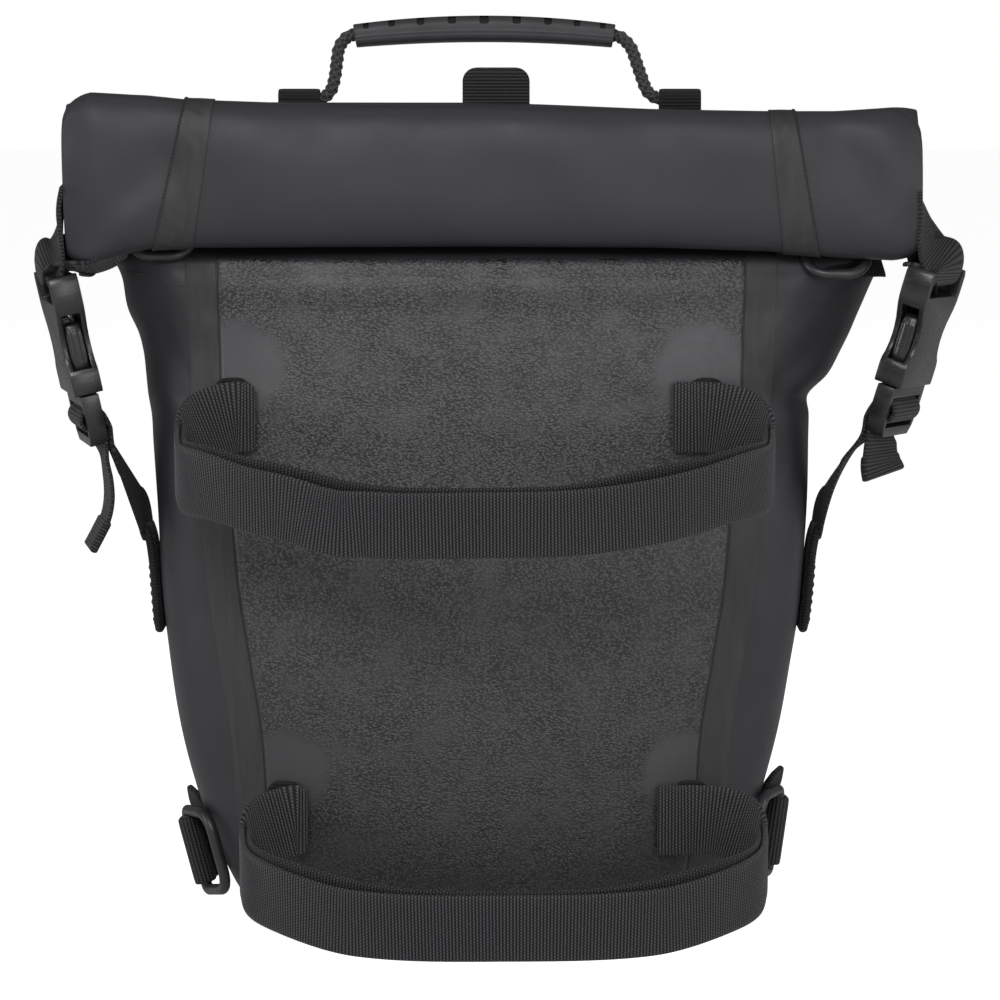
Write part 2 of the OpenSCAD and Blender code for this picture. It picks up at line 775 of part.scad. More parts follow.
// Sewn end of a strap: flat on the panel, then curving off it to the bend line
module strap_root(s, side) {
    z = s[3] + 3;
    face = wall_y(0, z, -1) - panel_gap - panel_t - 0.3;
    x_end = side < 0 ? s[5] : s[6];
    x_out = s[0] + side * s[1];
    t = strap_t;
    color(dark) difference() {
        translate([0, 0, z - web_w / 2]) linear_extrude(web_w) polygon([
            [x_end, face], [x_end, face - 2 * t], [x_out - side * 12, face - 2 * t - 0.5],
            [x_out - side * 4, face - 7], [x_out - side * 1.5, s[2]], [x_out + side * 1.5, s[2]],
            [x_out - side * 1, face - 5], [x_out - side * 10, face]
        ]);
        translate([x_out - side * 8, s[2], s[3]]) rotate([0, side * 90, 0])
            cylinder(r = knuckle + root_gap, h = 20, $fn = 64);
    }
}

module upper_root_left() {
    strap_root(UPPER_STRAP, -1);
}

module upper_root_right() {
    strap_root(UPPER_STRAP, 1);
}

module lower_root_left() {
    strap_root(LOWER_STRAP, -1);
}

module lower_root_right() {
    strap_root(LOWER_STRAP, 1);
}

// Small rounded tabs that show above the sewn ends
module strap_anchor_tabs() {
    tab_r = 7;
    color(dark) for (s = [UPPER_STRAP, LOWER_STRAP], side = [-1, 1]) {
        x = (side < 0 ? s[5] - 8 : s[6] + 12);
        z = s[3] + 3 + web_w / 2;
        face = wall_y(x - side * tab_r, z, -1) - panel_gap - panel_t - 0.4;
        translate([x, face, z + 0.3]) rotate([90, 0, 0]) intersection() {
            cylinder(r = tab_r, h = 1.6, $fn = 48);
            translate([-tab_r, 0, -1]) cube([2 * tab_r, tab_r, 4]);
        }
    }
}

sack();
back_panel();
back_board();
base_board();
side_tape(-1);  // side_tape_left
side_tape(1);  // side_tape_right
rolled_top();
roll_stiffener();
roll_tape(-104, -115);  // roll_tape_left
roll_tape(103, 108);  // roll_tape_right
handle_grip();
handle_cord();
handle_tab_left();
handle_tab_right();
top_loop();
front_strip();
roll_webbing_left();
roll_webbing_right();
buckle_female_left();
buckle_female_right();
buckle_male_left();
buckle_male_right();
prong_left_near();
prong_left_far();
prong_right_near();
prong_right_far();
adjuster_left();
adjuster_right();
tail_left();
tail_right();
side_tab_left();
side_tab_right();
upper_ring_left();
upper_ring_right();
upper_ring_tab_left();
upper_ring_tab_right();
side_ring_left();
side_ring_right();
side_ring_tab_left();
side_ring_tab_right();
upper_root_left();
upper_root_right();
lower_root_left();
lower_root_right();
upper_strap_outer();
upper_strap_inner();
lower_strap_outer();
lower_strap_inner();
strap_anchor_tabs();
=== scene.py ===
"""Roll-top tail bag: the visual model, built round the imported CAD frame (all piece sizes in millimetres)."""
import math

import bmesh
import bpy
import numpy as np
from mathutils import Matrix, Vector


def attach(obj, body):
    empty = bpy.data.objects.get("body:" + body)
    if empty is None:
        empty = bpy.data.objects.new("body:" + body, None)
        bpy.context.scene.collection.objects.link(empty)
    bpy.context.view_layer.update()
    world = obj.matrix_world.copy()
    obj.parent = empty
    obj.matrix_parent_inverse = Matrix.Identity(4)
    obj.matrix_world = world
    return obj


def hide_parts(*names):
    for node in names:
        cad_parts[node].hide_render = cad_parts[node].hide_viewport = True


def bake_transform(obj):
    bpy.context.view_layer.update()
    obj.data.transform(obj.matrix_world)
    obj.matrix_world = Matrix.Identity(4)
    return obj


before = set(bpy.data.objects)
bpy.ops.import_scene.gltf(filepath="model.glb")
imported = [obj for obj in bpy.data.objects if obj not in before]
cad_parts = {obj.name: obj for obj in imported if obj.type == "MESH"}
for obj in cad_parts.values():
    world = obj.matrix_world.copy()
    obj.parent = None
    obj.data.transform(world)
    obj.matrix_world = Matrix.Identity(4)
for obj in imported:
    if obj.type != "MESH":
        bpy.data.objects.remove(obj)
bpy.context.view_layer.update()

MM = 0.001
SIDE_SIGN = {"left": -1, "right": 1}

# ------------------------------------------------------------------ camera, floor and light

VIEW_CENTRE = (6.2, 0.0, 157.0)
VIEW_DISTANCE = 1900.0
VIEW_ELEVATION = math.radians(5)
VIEW_WIDTH = 363.6                      # width seen at the view centre
SENSOR = 36.0


def add_object(name, data):
    item = bpy.data.objects.new(name, data)
    bpy.context.scene.collection.objects.link(item)
    return item


def make_camera():
    data = bpy.data.cameras.new("camera")
    data.sensor_width = SENSOR
    data.lens = SENSOR * VIEW_DISTANCE / VIEW_WIDTH
    data.clip_end = 50
    camera = add_object("camera", data)
    back = Vector((0, -math.cos(VIEW_ELEVATION), math.sin(VIEW_ELEVATION)))
    camera.location = (Vector(VIEW_CENTRE) + back * VIEW_DISTANCE) * MM
    camera.rotation_euler = (math.pi / 2 - VIEW_ELEVATION, 0, 0)
    bpy.context.scene.camera = camera


def make_world(visible, ambient):
    world = bpy.data.worlds.new("studio")
    bpy.context.scene.world = world
    world.use_nodes = True
    nodes, links = world.node_tree.nodes, world.node_tree.links
    nodes.clear()
    out = nodes.new("ShaderNodeOutputWorld")
    mix = nodes.new("ShaderNodeMixShader")
    path = nodes.new("ShaderNodeLightPath")
    shades = []
    for strength in (ambient, visible):
        shade = nodes.new("ShaderNodeBackground")
        shade.inputs["Color"].default_value = (1, 1, 1, 1)
        shade.inputs["Strength"].default_value = strength
        shades.append(shade)
    links.new(path.outputs["Is Camera Ray"], mix.inputs[0])
    links.new(shades[0].outputs[0], mix.inputs[1])
    links.new(shades[1].outputs[0], mix.inputs[2])
    links.new(mix.outputs[0], out.inputs["Surface"])


# Soft lights: name, place and size in metres, watts
LIGHTS = [
    ("key", (-0.4, -1.9, 1.25), (1.1, 0.8), 22),
    ("fill", (0.7, -2.0, 0.5), (0.8, 0.9), 8),
    ("top", (0.0, -0.2, 1.9), (1.2, 0.8), 2),
    ("rim_left", (-1.6, -0.5, 0.6), (0.35, 0.9), 8),
    ("rim_right", (1.6, -0.5, 0.6), (0.35, 0.9), 8),
]
LIGHT_TARGET = (0.0, 0.0, 0.16)


def make_lights():
    for name, place, size, watts in LIGHTS:
        data = bpy.data.lights.new(name, "AREA")
        data.shape = "RECTANGLE"
        data.size, data.size_y = size
        data.energy = watts
        light = add_object(name, data)
        light.location = place
        aim = Vector(LIGHT_TARGET) - Vector(place)
        light.rotation_euler = aim.to_track_quat("-Z", "Y").to_euler()


FLOOR_REACH, FLOOR_Z = 14.0, -0.0003
FLOOR_GLOW = 0.82                       # seen by the camera only, so that it lights nothing


def make_floor():
    mesh = bpy.data.meshes.new("studio_floor")
    corners = [(-1, -1), (1, -1), (1, 1), (-1, 1)]
    mesh.from_pydata([(x * FLOOR_REACH, y * FLOOR_REACH, FLOOR_Z) for x, y in corners], [], [(0, 1, 2, 3)])
    s = Shader("floor_paper", 0.9, 0.1)
    s.set("Base Color", (0.9, 0.9, 0.9, 1))
    s.set("Emission Color", (1, 1, 1, 1))
    seen = s.add("ShaderNodeLightPath").outputs["Is Camera Ray"]
    s.set("Emission Strength", s.math("MULTIPLY", seen, FLOOR_GLOW))
    mesh.materials.append(s.material)
    return add_object("studio_floor", mesh)


# ------------------------------------------------------------------ materials


class Shader:
    """A node material: values that vary go through nodes, uniform ones sit on the shader's own sockets."""

    def __init__(self, name, roughness, specular=0.5):
        self.material = bpy.data.materials.new(name)
        self.material.use_nodes = True
        self.tree = self.material.node_tree
        self.bsdf = self.tree.nodes["Principled BSDF"]
        self.set("Roughness", roughness)
        self.set("Specular IOR Level", specular)

    def set(self, socket, value):
        if isinstance(value, bpy.types.NodeSocket):
            self.tree.links.new(value, self.bsdf.inputs[socket])
        else:
            self.bsdf.inputs[socket].default_value = value

    def add(self, kind, inputs=None, **settings):
        node = self.tree.nodes.new(kind)
        for key, value in settings.items():
            setattr(node, key, value)
        for key, value in (inputs or {}).items():
            if isinstance(value, bpy.types.NodeSocket):
                self.tree.links.new(value, node.inputs[key])
            else:
                node.inputs[key].default_value = value
        return node

    def place(self):
        return self.add("ShaderNodeTexCoord").outputs["Object"]

    def uv(self):
        return self.add("ShaderNodeUVMap", uv_map="UVMap").outputs["UV"]

    def noise(self, vector, scale, detail=3.0, rough=0.5, stretch=None):
        if stretch:
            vector = self.add("ShaderNodeMapping", {"Vector": vector, "Scale": stretch}).outputs["Vector"]
        inputs = {"Vector": vector, "Scale": scale, "Detail": detail, "Roughness": rough}
        return self.add("ShaderNodeTexNoise", inputs).outputs["Fac"]

    def ramp(self, factor, *stops):
        node = self.add("ShaderNodeValToRGB", {"Fac": factor})
        elements = node.color_ramp.elements
        while len(elements) < len(stops):
            elements.new(0.5)
        for element, (position, colour) in zip(elements, stops):
            element.position = position
            rgb = colour if isinstance(colour, tuple) else (colour,) * 3
            element.color = (*rgb, 1)
        return node.outputs["Color"]

    def math(self, operation, a, b=0.0, c=0.0):
        node = self.add("ShaderNodeMath", operation=operation)
        for socket, value in zip(node.inputs, (a, b, c)):
            if isinstance(value, bpy.types.NodeSocket):
                self.tree.links.new(value, socket)
            else:
                socket.default_value = value
        return node.outputs[0]

    def mix(self, factor, a, b):
        return self.add("ShaderNodeMix", {0: factor, 6: a, 7: b}, data_type="RGBA").outputs[2]

    def bump(self, height, distance, strength=1.0, below=None):
        inputs = {"Height": height, "Distance": distance * MM, "Strength": strength}
        if below is not None:
            inputs["Normal"] = below
        return self.add("ShaderNodeBump", inputs).outputs["Normal"]


def cool_grey(value):
    """A nearly neutral colour with a little more blue than red."""
    return (value * 0.97, value * 0.985, value * 1.1)


def tarpaulin_material():
    s = Shader("tarpaulin", 0.5, 0.3)
    at = s.place()
    mottle = s.noise(at, 26, 4)
    s.set("Base Color", s.ramp(mottle, (0.25, (0.0255, 0.0251, 0.029)), (0.8, (0.031, 0.0305, 0.0352))))
    s.set("Roughness", s.ramp(s.noise(at, 55, 5, 0.6), (0.2, 0.42), (0.8, 0.56)))
    fine = s.noise(at, 1500, 2)
    slow = s.noise(at, 45, 2)
    s.set("Normal", s.bump(fine, 0.05, 0.5, s.bump(slow, 1.2, 0.35)))
    return s.material


def tape_material(name, tone, low, high):
    s = Shader(name, 0.4, 0.32)
    at = s.place()
    streaks = s.noise(at, 60, 6, 0.6, (6, 6, 0.8))
    s.set("Base Color", s.ramp(streaks, (0.3, tone * 0.85), (0.8, tone * 1.35)))
    s.set("Roughness", s.ramp(streaks, (0.25, high), (0.75, low)))
    s.set("Normal", s.bump(s.noise(at, 260, 4, 0.6), 0.25, 0.5))
    return s.material


def panel_material(patches):
    """Embossed grip rubber, smoothed by the weld patches behind each strap root."""
    s = Shader("grip_panel", 0.5, 0.5)
    at = s.place()
    warp = s.add("ShaderNodeTexNoise", {"Vector": at, "Scale": 900.0, "Detail": 1.0}).outputs["Color"]
    shift = (0.8 * MM,) * 3
    bent = s.add("ShaderNodeVectorMath", {0: warp, 1: shift}, operation="MULTIPLY").outputs[0]
    moved = s.add("ShaderNodeVectorMath", {0: at, 1: bent}, operation="ADD").outputs[0]
    wide = s.add("ShaderNodeMapping", {"Vector": moved, "Scale": (0.8, 1, 1.25)}).outputs["Vector"]
    cells = s.add("ShaderNodeTexVoronoi", {"Vector": wide, "Scale": 1150.0, "Smoothness": 0.35},
                  feature="SMOOTH_F1").outputs["Distance"]
    pebble = s.math("SUBTRACT", 1.0, s.math("MULTIPLY", cells, 1.25))
    grain = s.math("ADD", s.math("MULTIPLY", pebble, 0.75), s.math("MULTIPLY", s.noise(at, 2100, 2), 0.35))
    nearest = 1.0
    for x, y, z, radius in patches:
        centre = (x * MM, y * MM, z * MM)
        gap = s.add("ShaderNodeVectorMath", {0: at, 1: centre}, operation="DISTANCE").outputs["Value"]
        nearest = s.math("MINIMUM", nearest, s.math("DIVIDE", gap, radius * MM))
    ragged = s.math("ADD", nearest, s.math("MULTIPLY", s.math("SUBTRACT", s.noise(at, 90, 3), 0.5), 0.5))
    rough_area = s.add("ShaderNodeMapRange", {"Value": ragged, "From Min": 0.72, "From Max": 1.12},
                       interpolation_type="SMOOTHSTEP").outputs[0]
    height = s.math("MULTIPLY", grain, rough_area)
    rough = s.ramp(grain, (0.38, (0.007, 0.0068, 0.0075)), (0.7, (0.072, 0.071, 0.077)))
    smooth = s.ramp(s.noise(at, 30, 4), (0.3, (0.042, 0.042, 0.046)), (0.8, (0.066, 0.065, 0.07)))
    # Painted shade: the panel's colour is multiplied darker towards its foot, below about 140 mm, standing in
    # for light falling off lower down and the shade under the straps.
    height_up = s.add("ShaderNodeSeparateXYZ", {"Vector": at}).outputs["Z"]
    painted_low_shade = s.ramp(height_up, (0.01, 0.36), (0.14, 1.0))
    plain = s.mix(rough_area, smooth, rough)
    s.set("Base Color", s.add("ShaderNodeVectorMath", {0: plain, 1: painted_low_shade}, operation="MULTIPLY").outputs[0])
    s.set("Roughness", s.ramp(s.noise(at, 800, 3), (0.2, 0.38), (0.8, 0.58)))
    s.set("Normal", s.bump(height, 0.3, 0.8, s.bump(s.noise(at, 60, 3), 0.6, 0.3)))
    return s.material


def webbing_material(name, valley, crest, bead=0.55):
    """Ribbed weave: UV x counts the ribs along the band, UV y counts threads across it."""
    s = Shader(name, 0.62, 0.2)
    uv = s.uv()
    split = s.add("ShaderNodeSeparateXYZ", {"Vector": uv})
    along, across = split.outputs["X"], split.outputs["Y"]
    turn = 2 * math.pi
    rib = s.math("MULTIPLY_ADD", s.math("COSINE", s.math("MULTIPLY", along, turn)), 0.5, 0.5)
    shift = s.math("MULTIPLY", s.math("FLOOR", s.math("ADD", along, 0.5)), 0.5)
    bead_turn = s.math("MULTIPLY", s.math("ADD", across, shift), turn)
    beads = s.math("MULTIPLY_ADD", s.math("COSINE", bead_turn), 0.5, 0.5)
    weave = s.math("MULTIPLY", rib, s.math("MULTIPLY_ADD", beads, bead, 1 - bead))
    fuzz = s.noise(s.place(), 900, 4, 0.7)
    tone = s.math("MULTIPLY", weave, s.math("MULTIPLY_ADD", fuzz, 0.9, 0.55))
    s.set("Base Color", s.ramp(tone, (0.08, valley), (0.85, crest)))
    s.set("Roughness", s.ramp(fuzz, (0.2, 0.5), (0.8, 0.75)))
    s.set("Sheen Weight", 0.08)
    s.set("Sheen Roughness", 0.5)
    height = s.math("ADD", weave, s.math("MULTIPLY", fuzz, 0.35))
    s.set("Normal", s.bump(height, 0.22, 0.9))
    return s.material


def plastic_material(name, tone, low, high):
    s = Shader(name, 0.3, 0.5)
    at = s.place()
    mottle = s.noise(at, 70, 3)
    s.set("Base Color", s.ramp(mottle, (0.3, cool_grey(tone * 0.8)), (0.8, cool_grey(tone * 1.4))))
    scuffs = s.noise(at, 320, 5, 0.65, (1, 1, 3.5))
    s.set("Roughness", s.ramp(scuffs, (0.35, low), (0.75, high)))
    s.set("Normal", s.bump(s.noise(at, 700, 2), 0.015, 0.4, s.bump(s.noise(at, 90, 2), 0.2, 0.15)))
    return s.material


def rubber_material():
    s = Shader("grip_rubber", 0.55, 0.4)
    at = s.place()
    mottle = s.noise(at, 120, 4)
    s.set("Base Color", s.ramp(mottle, (0.3, (0.024, 0.024, 0.0268)), (0.8, (0.034, 0.034, 0.0378))))
    s.set("Roughness", s.ramp(s.noise(at, 240, 4), (0.3, 0.45), (0.8, 0.62)))
    s.set("Normal", s.bump(s.noise(at, 1300, 3), 0.06, 0.8))
    return s.material


def cord_material():
    s = Shader("braided_cord", 0.6, 0.35)
    at = s.place()
    fibres = s.noise(at, 1500, 4, 0.7)
    s.set("Base Color", s.ramp(fibres, (0.3, (0.012, 0.012, 0.014)), (0.75, (0.07, 0.07, 0.075))))
    s.set("Sheen Weight", 0.1)
    s.set("Normal", s.bump(fibres, 0.12, 0.8))
    return s.material


def flat_material(name, tone, roughness, grain_scale, depth):
    s = Shader(name, roughness, 0.4)
    at = s.place()
    grain = s.noise(at, grain_scale, 5, 0.6)
    s.set("Base Color", s.ramp(grain, (0.3, tone * 0.75), (0.8, tone * 1.3)))
    s.set("Roughness", s.ramp(grain, (0.2, roughness - 0.08), (0.8, roughness + 0.1)))
    s.set("Normal", s.bump(grain, depth, 0.6))
    return s.material


# ------------------------------------------------------------------ mesh tools


def make_object(name, points, faces, material, uvs=None, crease=None):
    """One piece from points in millimetres; uvs are per point."""
    mesh = bpy.data.meshes.new(name)
    mesh.from_pydata((np.asarray(points) * MM).tolist(), [], faces)
    if uvs is not None:
        layer = mesh.uv_layers.new(name="UVMap")
        corners = np.empty(len(mesh.loops), dtype=np.int32)
        mesh.loops.foreach_get("vertex_index", corners)
        layer.data.foreach_set("uv", np.asarray(uvs, dtype=np.float32)[corners].ravel())
    tidy = bmesh.new()
    tidy.from_mesh(mesh)
    bmesh.ops.recalc_face_normals(tidy, faces=tidy.faces)
    tidy.to_mesh(mesh)
    tidy.free()
    mesh.shade_smooth()
    if crease is not None:
        mesh.set_sharp_from_angle(angle=math.radians(crease))
    mesh.materials.append(material)
    return add_object(name, mesh)


def ring_faces(rows, count, first=0, capped=True):
    faces = []
    for j in range(rows - 1):
        base = first + j * count
        for i in range(count):
            k = (i + 1) % count
            faces.append((base + i, base + k, base + k + count, base + i + count))
    if capped:
        faces.append(tuple(range(first + count - 1, first - 1, -1)))
        faces.append(tuple(range(first + (rows - 1) * count, first + rows * count)))
    return faces


class Parts:
    """Collects several closed shapes into one piece."""

    def __init__(self):
        self.points, self.faces = [], []

    def add_rings(self, rings):
        rows, count = len(rings), len(rings[0])
        self.faces += ring_faces(rows, count, len(self.points))
        self.points += [tuple(p) for ring in rings for p in ring]

    def build(self, name, material):
        return make_object(name, self.points, self.faces, material)


def unit(v):
    v = np.asarray(v, dtype=float)
    return v / np.maximum(np.linalg.norm(v, axis=-1, keepdims=True), 1e-12)


def smoothstep(v, low, high):
    t = np.clip((np.asarray(v, dtype=float) - low) / (high - low), 0, 1)
    return t * t * (3 - 2 * t)


def spow(v, power):
    """Power that keeps the sign."""
    return np.sign(v) * np.abs(v) ** power


def rounded(f, least):
    """Quarter-round rise as f goes from 0 to 1; least keeps the edge from closing to nothing."""
    return np.sqrt(np.clip(1 - (1 - f) ** 2, least, 1))


def hermite(knots, rows, at):
    """Smooth curve through rows (one per knot) evaluated at the given parameters."""
    rows = np.asarray(rows, dtype=float)
    h = np.diff(knots)
    d = np.diff(rows, axis=0) / h[:, None]
    m = np.empty_like(rows)
    m[0], m[-1] = d[0], d[-1]
    m[1:-1] = (d[:-1] * h[1:, None] + d[1:] * h[:-1, None]) / (h[1:] + h[:-1])[:, None]
    i = np.clip(np.searchsorted(knots, at, side="right") - 1, 0, len(h) - 1)
    f = ((at - knots[i]) / h[i])[:, None]
    step = h[i][:, None]
    return ((2 * f**3 - 3 * f**2 + 1) * rows[i] + (f**3 - 2 * f**2 + f) * step * m[i]
            + (3 * f**2 - 2 * f**3) * rows[i + 1] + (f**3 - f**2) * step * m[i + 1])


def spline(stations, step):
    """Even samples of a smooth curve through stations; the first three columns are the place."""
    rows = np.asarray(stations, dtype=float)
    knots = run_along(rows[:, :3])
    at = np.linspace(0, knots[-1], max(3, int(round(knots[-1] / step)) + 1))
    return hermite(knots, rows, at)


def run_along(points):
    """Distance from the first point to each point of a line."""
    return np.concatenate([[0], np.cumsum(np.linalg.norm(np.diff(points, axis=0), axis=1))])


def path_frames(path):
    """Across and outward directions of a path whose columns 3 to 5 are rough normals."""
    along = unit(np.gradient(path[:, :3], axis=0))
    across = unit(np.cross(along, path[:, 3:6]))
    return across, np.cross(across, along)


RIB_PITCH = 1.15
RIB_HEIGHT = 0.1
EDGE_ANGLES = (60, 30, 0, -30, -60)
FACE_COLUMNS = 15


def band_section():
    """Round-edged section as rows of: across fraction, edge cosine, height fraction, rib share."""
    face = np.linspace(-1, 1, FACE_COLUMNS)
    rows = [(u, 0, 1, 1 - 0.75 * abs(u) ** 10) for u in face]
    rows += [(1, math.cos(math.radians(a)), math.sin(math.radians(a)), 0.15) for a in EDGE_ANGLES]
    rows += [(u, 0, -1, 1 - 0.75 * abs(u) ** 10) for u in face[::-1]]
    rows += [(-1, -math.cos(math.radians(a)), -math.sin(math.radians(a)), 0.15) for a in EDGE_ANGLES]
    return np.array(rows)


def band(name, stations, width, thick, material, round_start=0.0, round_end=0.0, hem_start=0.0, hem_end=0.0,
         rib=RIB_HEIGHT):
    """Ribbed webbing along stations of x, y, z, nx, ny, nz; round ends have that radius, hems that length."""
    path = spline(stations, RIB_PITCH / 4)
    across, out = path_frames(path)
    length = run_along(path[:, :3])
    total = length[-1]
    half = np.full(len(length), width / 2.0)
    for radius, gap in ((round_start, length), (round_end, total - length)):
        if radius > 0:
            near = np.clip(radius - gap, 0, radius)
            half = half - radius + np.sqrt(np.maximum(radius**2 - near**2, 0.04))
    lift = np.full(len(length), thick / 2.0)
    for hem, gap in ((hem_start, length), (hem_end, total - length)):
        if hem > 0:
            lift = lift + 0.45 * thick * (1 - smoothstep(gap, hem - 0.6, hem + 0.4))
    tip = np.minimum(np.minimum(length, total - length) / (thick * 0.5), 1)
    lift = lift * rounded(tip, 0.12)
    section = band_section()
    wave = rib * np.cos(2 * np.pi * length / RIB_PITCH)
    edge = np.minimum(lift, thick / 2)
    side = section[None, :, 0] * (half - edge)[:, None] + section[None, :, 1] * edge[:, None]
    rise = section[None, :, 2] * (lift[:, None] + wave[:, None] * section[None, :, 3])
    points = path[:, None, :3] + across[:, None, :] * side[..., None] + out[:, None, :] * rise[..., None]
    rows, count = side.shape
    u = np.repeat((length / RIB_PITCH)[:, None], count, axis=1)
    uvs = np.stack([u, side / RIB_PITCH], axis=-1)
    return make_object(name, points.reshape(-1, 3), ring_faces(rows, count), material, uvs.reshape(-1, 2))


def tube_rings(path, up, radius, sides=16, flat=1.0, closed=False):
    """Rings of a round tube along points; up is a direction that the path never follows."""
    path = np.asarray(path, dtype=float)
    if closed:
        tangent = unit(np.roll(path, -1, axis=0) - np.roll(path, 1, axis=0))
    else:
        tangent = unit(np.gradient(path, axis=0))
    across = unit(np.cross(tangent, np.asarray(up, dtype=float)))
    over = np.cross(across, tangent)
    angle = np.arange(sides) * 2 * np.pi / sides
    radius = np.broadcast_to(np.asarray(radius, dtype=float), (len(path),))
    wide, high = np.cos(angle)[None, :, None], (flat * np.sin(angle))[None, :, None]
    ring = across[:, None] * wide + over[:, None] * high
    return path[:, None] + ring * radius[:, None, None]


STITCH_LEN, STITCH_GAP, THREAD_RADIUS = 2.4, 0.7, 0.3


def add_stitches(parts, points, normal):
    """A row of thread stitches along a line; each stitch is a low arc that dives into the cloth."""
    points = np.asarray(points, dtype=float)
    knots = run_along(points)
    count = max(1, int(knots[-1] // (STITCH_LEN + STITCH_GAP)))
    pitch = knots[-1] / count
    arc = np.sin(np.pi * np.linspace(0, 1, 6))[:, None]
    lift = unit(normal) * (arc * 1.5 - 0.5) * THREAD_RADIUS
    radius = THREAD_RADIUS * np.array([0.5, 0.9, 1, 1, 0.9, 0.5])
    for k in range(count):
        at = k * pitch + STITCH_GAP / 2 + (pitch - STITCH_GAP) * np.linspace(0, 1, 6)
        place = np.stack([np.interp(at, knots, points[:, c]) for c in range(3)], axis=-1)
        parts.add_rings(tube_rings(place + lift, normal, radius, 7))


def stitch_box(parts, at, low, high, half, normal):
    """A sewn box with a diagonal; at(across, z) gives a point on the webbing."""
    corners = [(-half, low), (half, low), (half, high), (-half, high), (-half, low), (half, high)]
    for (ua, za), (ub, zb) in zip(corners, corners[1:]):
        line = [at(ua + (ub - ua) * f, za + (zb - za) * f) for f in np.linspace(0, 1, 12)]
        add_stitches(parts, line, normal)


def sheet_solid(name, front, back, material, crease=None):
    """Closed sheet from two grids of points of the same shape."""
    rows, cols = front.shape[:2]
    index = np.arange(rows * cols).reshape(rows, cols)
    a, b, c, d = (part.ravel() for part in (index[:-1, :-1], index[:-1, 1:], index[1:, 1:], index[1:, :-1]))
    faces = np.stack([a, b, c, d], axis=-1).tolist()
    faces += (np.stack([d, c, b, a], axis=-1) + index.size).tolist()
    loop = np.concatenate([index[0], index[1:, -1], index[-1, -2::-1], index[-2:0:-1, 0]])
    after = np.roll(loop, -1)
    faces += np.stack([loop, after, after + index.size, loop + index.size], axis=-1).tolist()
    points = np.concatenate([front.reshape(-1, 3), back.reshape(-1, 3)])
    return make_object(name, points, faces, material, crease=crease)


# ------------------------------------------------------------------ the sack's own surface

# Sections from the base up: height, half width, centre x, back y, front y, squareness
SECTIONS = np.array([
    [0, 68, 0, -42, 42, 3], [3, 74, 0, -47, 47, 3], [8, 81, 0, -51, 51, 3], [16, 88, 0, -54, 54, 3.2],
    [28, 94, -0.5, -56, 56, 3.4], [44, 100, -0.8, -57, 57, 3.6], [62, 105, -1, -57, 57.5, 3.8],
    [102, 111.9, -1, -57, 58, 4], [150, 116.8, -0.3, -57, 57, 4], [180, 117.6, -0.6, -57, 53, 4],
    [190, 117.7, -0.9, -57, 49.5, 3.9], [197, 117.9, -1.8, -56.6, 45.5, 3.8],
    [204, 121.6, 1.2, -56.3, 41, 3.5], [212, 124.3, 3.1, -56, 36, 3.2],
    [219, 126.9, 4.1, -55.5, 30, 3], [227, 130.4, 4, -55, 24, 2.8],
    [242, 135.5, 5.5, -54, 8, 2.5], [247.5, 138.9, 5.4, -50, 2, 2.4], [250, 141.2, 5.2, -43, -1, 2.3],
    [253, 143.8, 4.6, -34, -4, 2.2], [264, 148.6, 3.6, -32, -14, 2.2], [276, 151, 3, -31.5, -20, 2.2],
    [288, 151.5, 2.8, -31.5, -23, 2.2], [297, 151.5, 2.8, -31.5, -23.5, 2.2],
])
# The back panel's outline: height, half width
PANEL_EDGE = np.array([[10, 71], [54, 75.9], [77, 77.3], [128, 85.6], [151, 87.6], [200, 91.8], [218, 92.2],
                       [249, 93.4]])
PANEL_X = -0.5
WALL = 1.5
PANEL_T = 1.6
SKIN_GAP = 0.4
TABLE_Z = np.arange(0, 297.01, 0.5)
TABLE = hermite(SECTIONS[:, 0], SECTIONS[:, 1:], TABLE_Z)

# Soft folds on the back: start x, z, end x, z, width, depth (a fold is pressed in, a negative one stands out)
BACK_FOLDS = [
    (-124, 234, -106, 203, 6.5, 2.2), (-112, 243, -99, 222, 4, -1.0), (-100, 205, -103, 150, 5, -0.6),
    (131, 226, 108, 203, 7.5, 2.4), (116, 243, 100, 214, 5, -1.2), (98, 205, 96, 120, 6, -0.7),
    (-98, 120, -86, 60, 9, 0.9), (92, 110, 84, 60, 9, 0.8), (104, 200, 112, 160, 5, 0.8),
]
# Soft folds on the front, where the neck is gathered down to the roll
FRONT_FOLDS = [
    (-90, 268, -70, 190, 9, 2.0), (-30, 262, -36, 196, 11, 1.6), (44, 262, 52, 186, 11, 1.8),
    (96, 266, 84, 192, 9, 2.0), (-62, 150, 70, 132, 16, 0.9), (-110, 250, -84, 214, 6, -1.6),
    (114, 250, 92, 214, 6, -1.6), (10, 110, -50, 60, 16, 0.8),
]


def section_at(z):
    return np.stack([np.interp(z, TABLE_Z, TABLE[:, c]) for c in range(5)], axis=-1)


def fold_depth(x, z, folds):
    total = np.zeros_like(x)
    for x0, z0, x1, z1, width, depth in folds:
        dx, dz = x1 - x0, z1 - z0
        f = np.clip(((x - x0) * dx + (z - z0) * dz) / (dx * dx + dz * dz), 0, 1)
        gap = np.hypot(x - x0 - f * dx, z - z0 - f * dz)
        total -= depth * np.exp(-(gap / width) ** 2)
    return total


def swell(x, y, z):
    """How far the cloth stands out from the plain form: slack waves and soft folds."""
    slack = (0.75 * np.sin(x / 27 + z / 41 + 1.3) * np.sin(z / 33 - x / 71)
             + 0.45 * np.sin(y / 15 + z / 23 + 0.4) * np.sin(x / 19 - z / 57)
             + 0.25 * np.sin(x / 11 + z / 13) * np.sin(z / 17 - y / 9))
    share = smoothstep(z, 4, 40) * (1 - smoothstep(z, 262, 288))
    is_back = 1 - smoothstep(y, -45, -25)
    is_front = smoothstep(y, -14, 4)
    folds = is_back * fold_depth(x, z, BACK_FOLDS) + is_front * fold_depth(x, z, FRONT_FOLDS)
    return share * (slack * (1 - 0.55 * is_back) + folds)


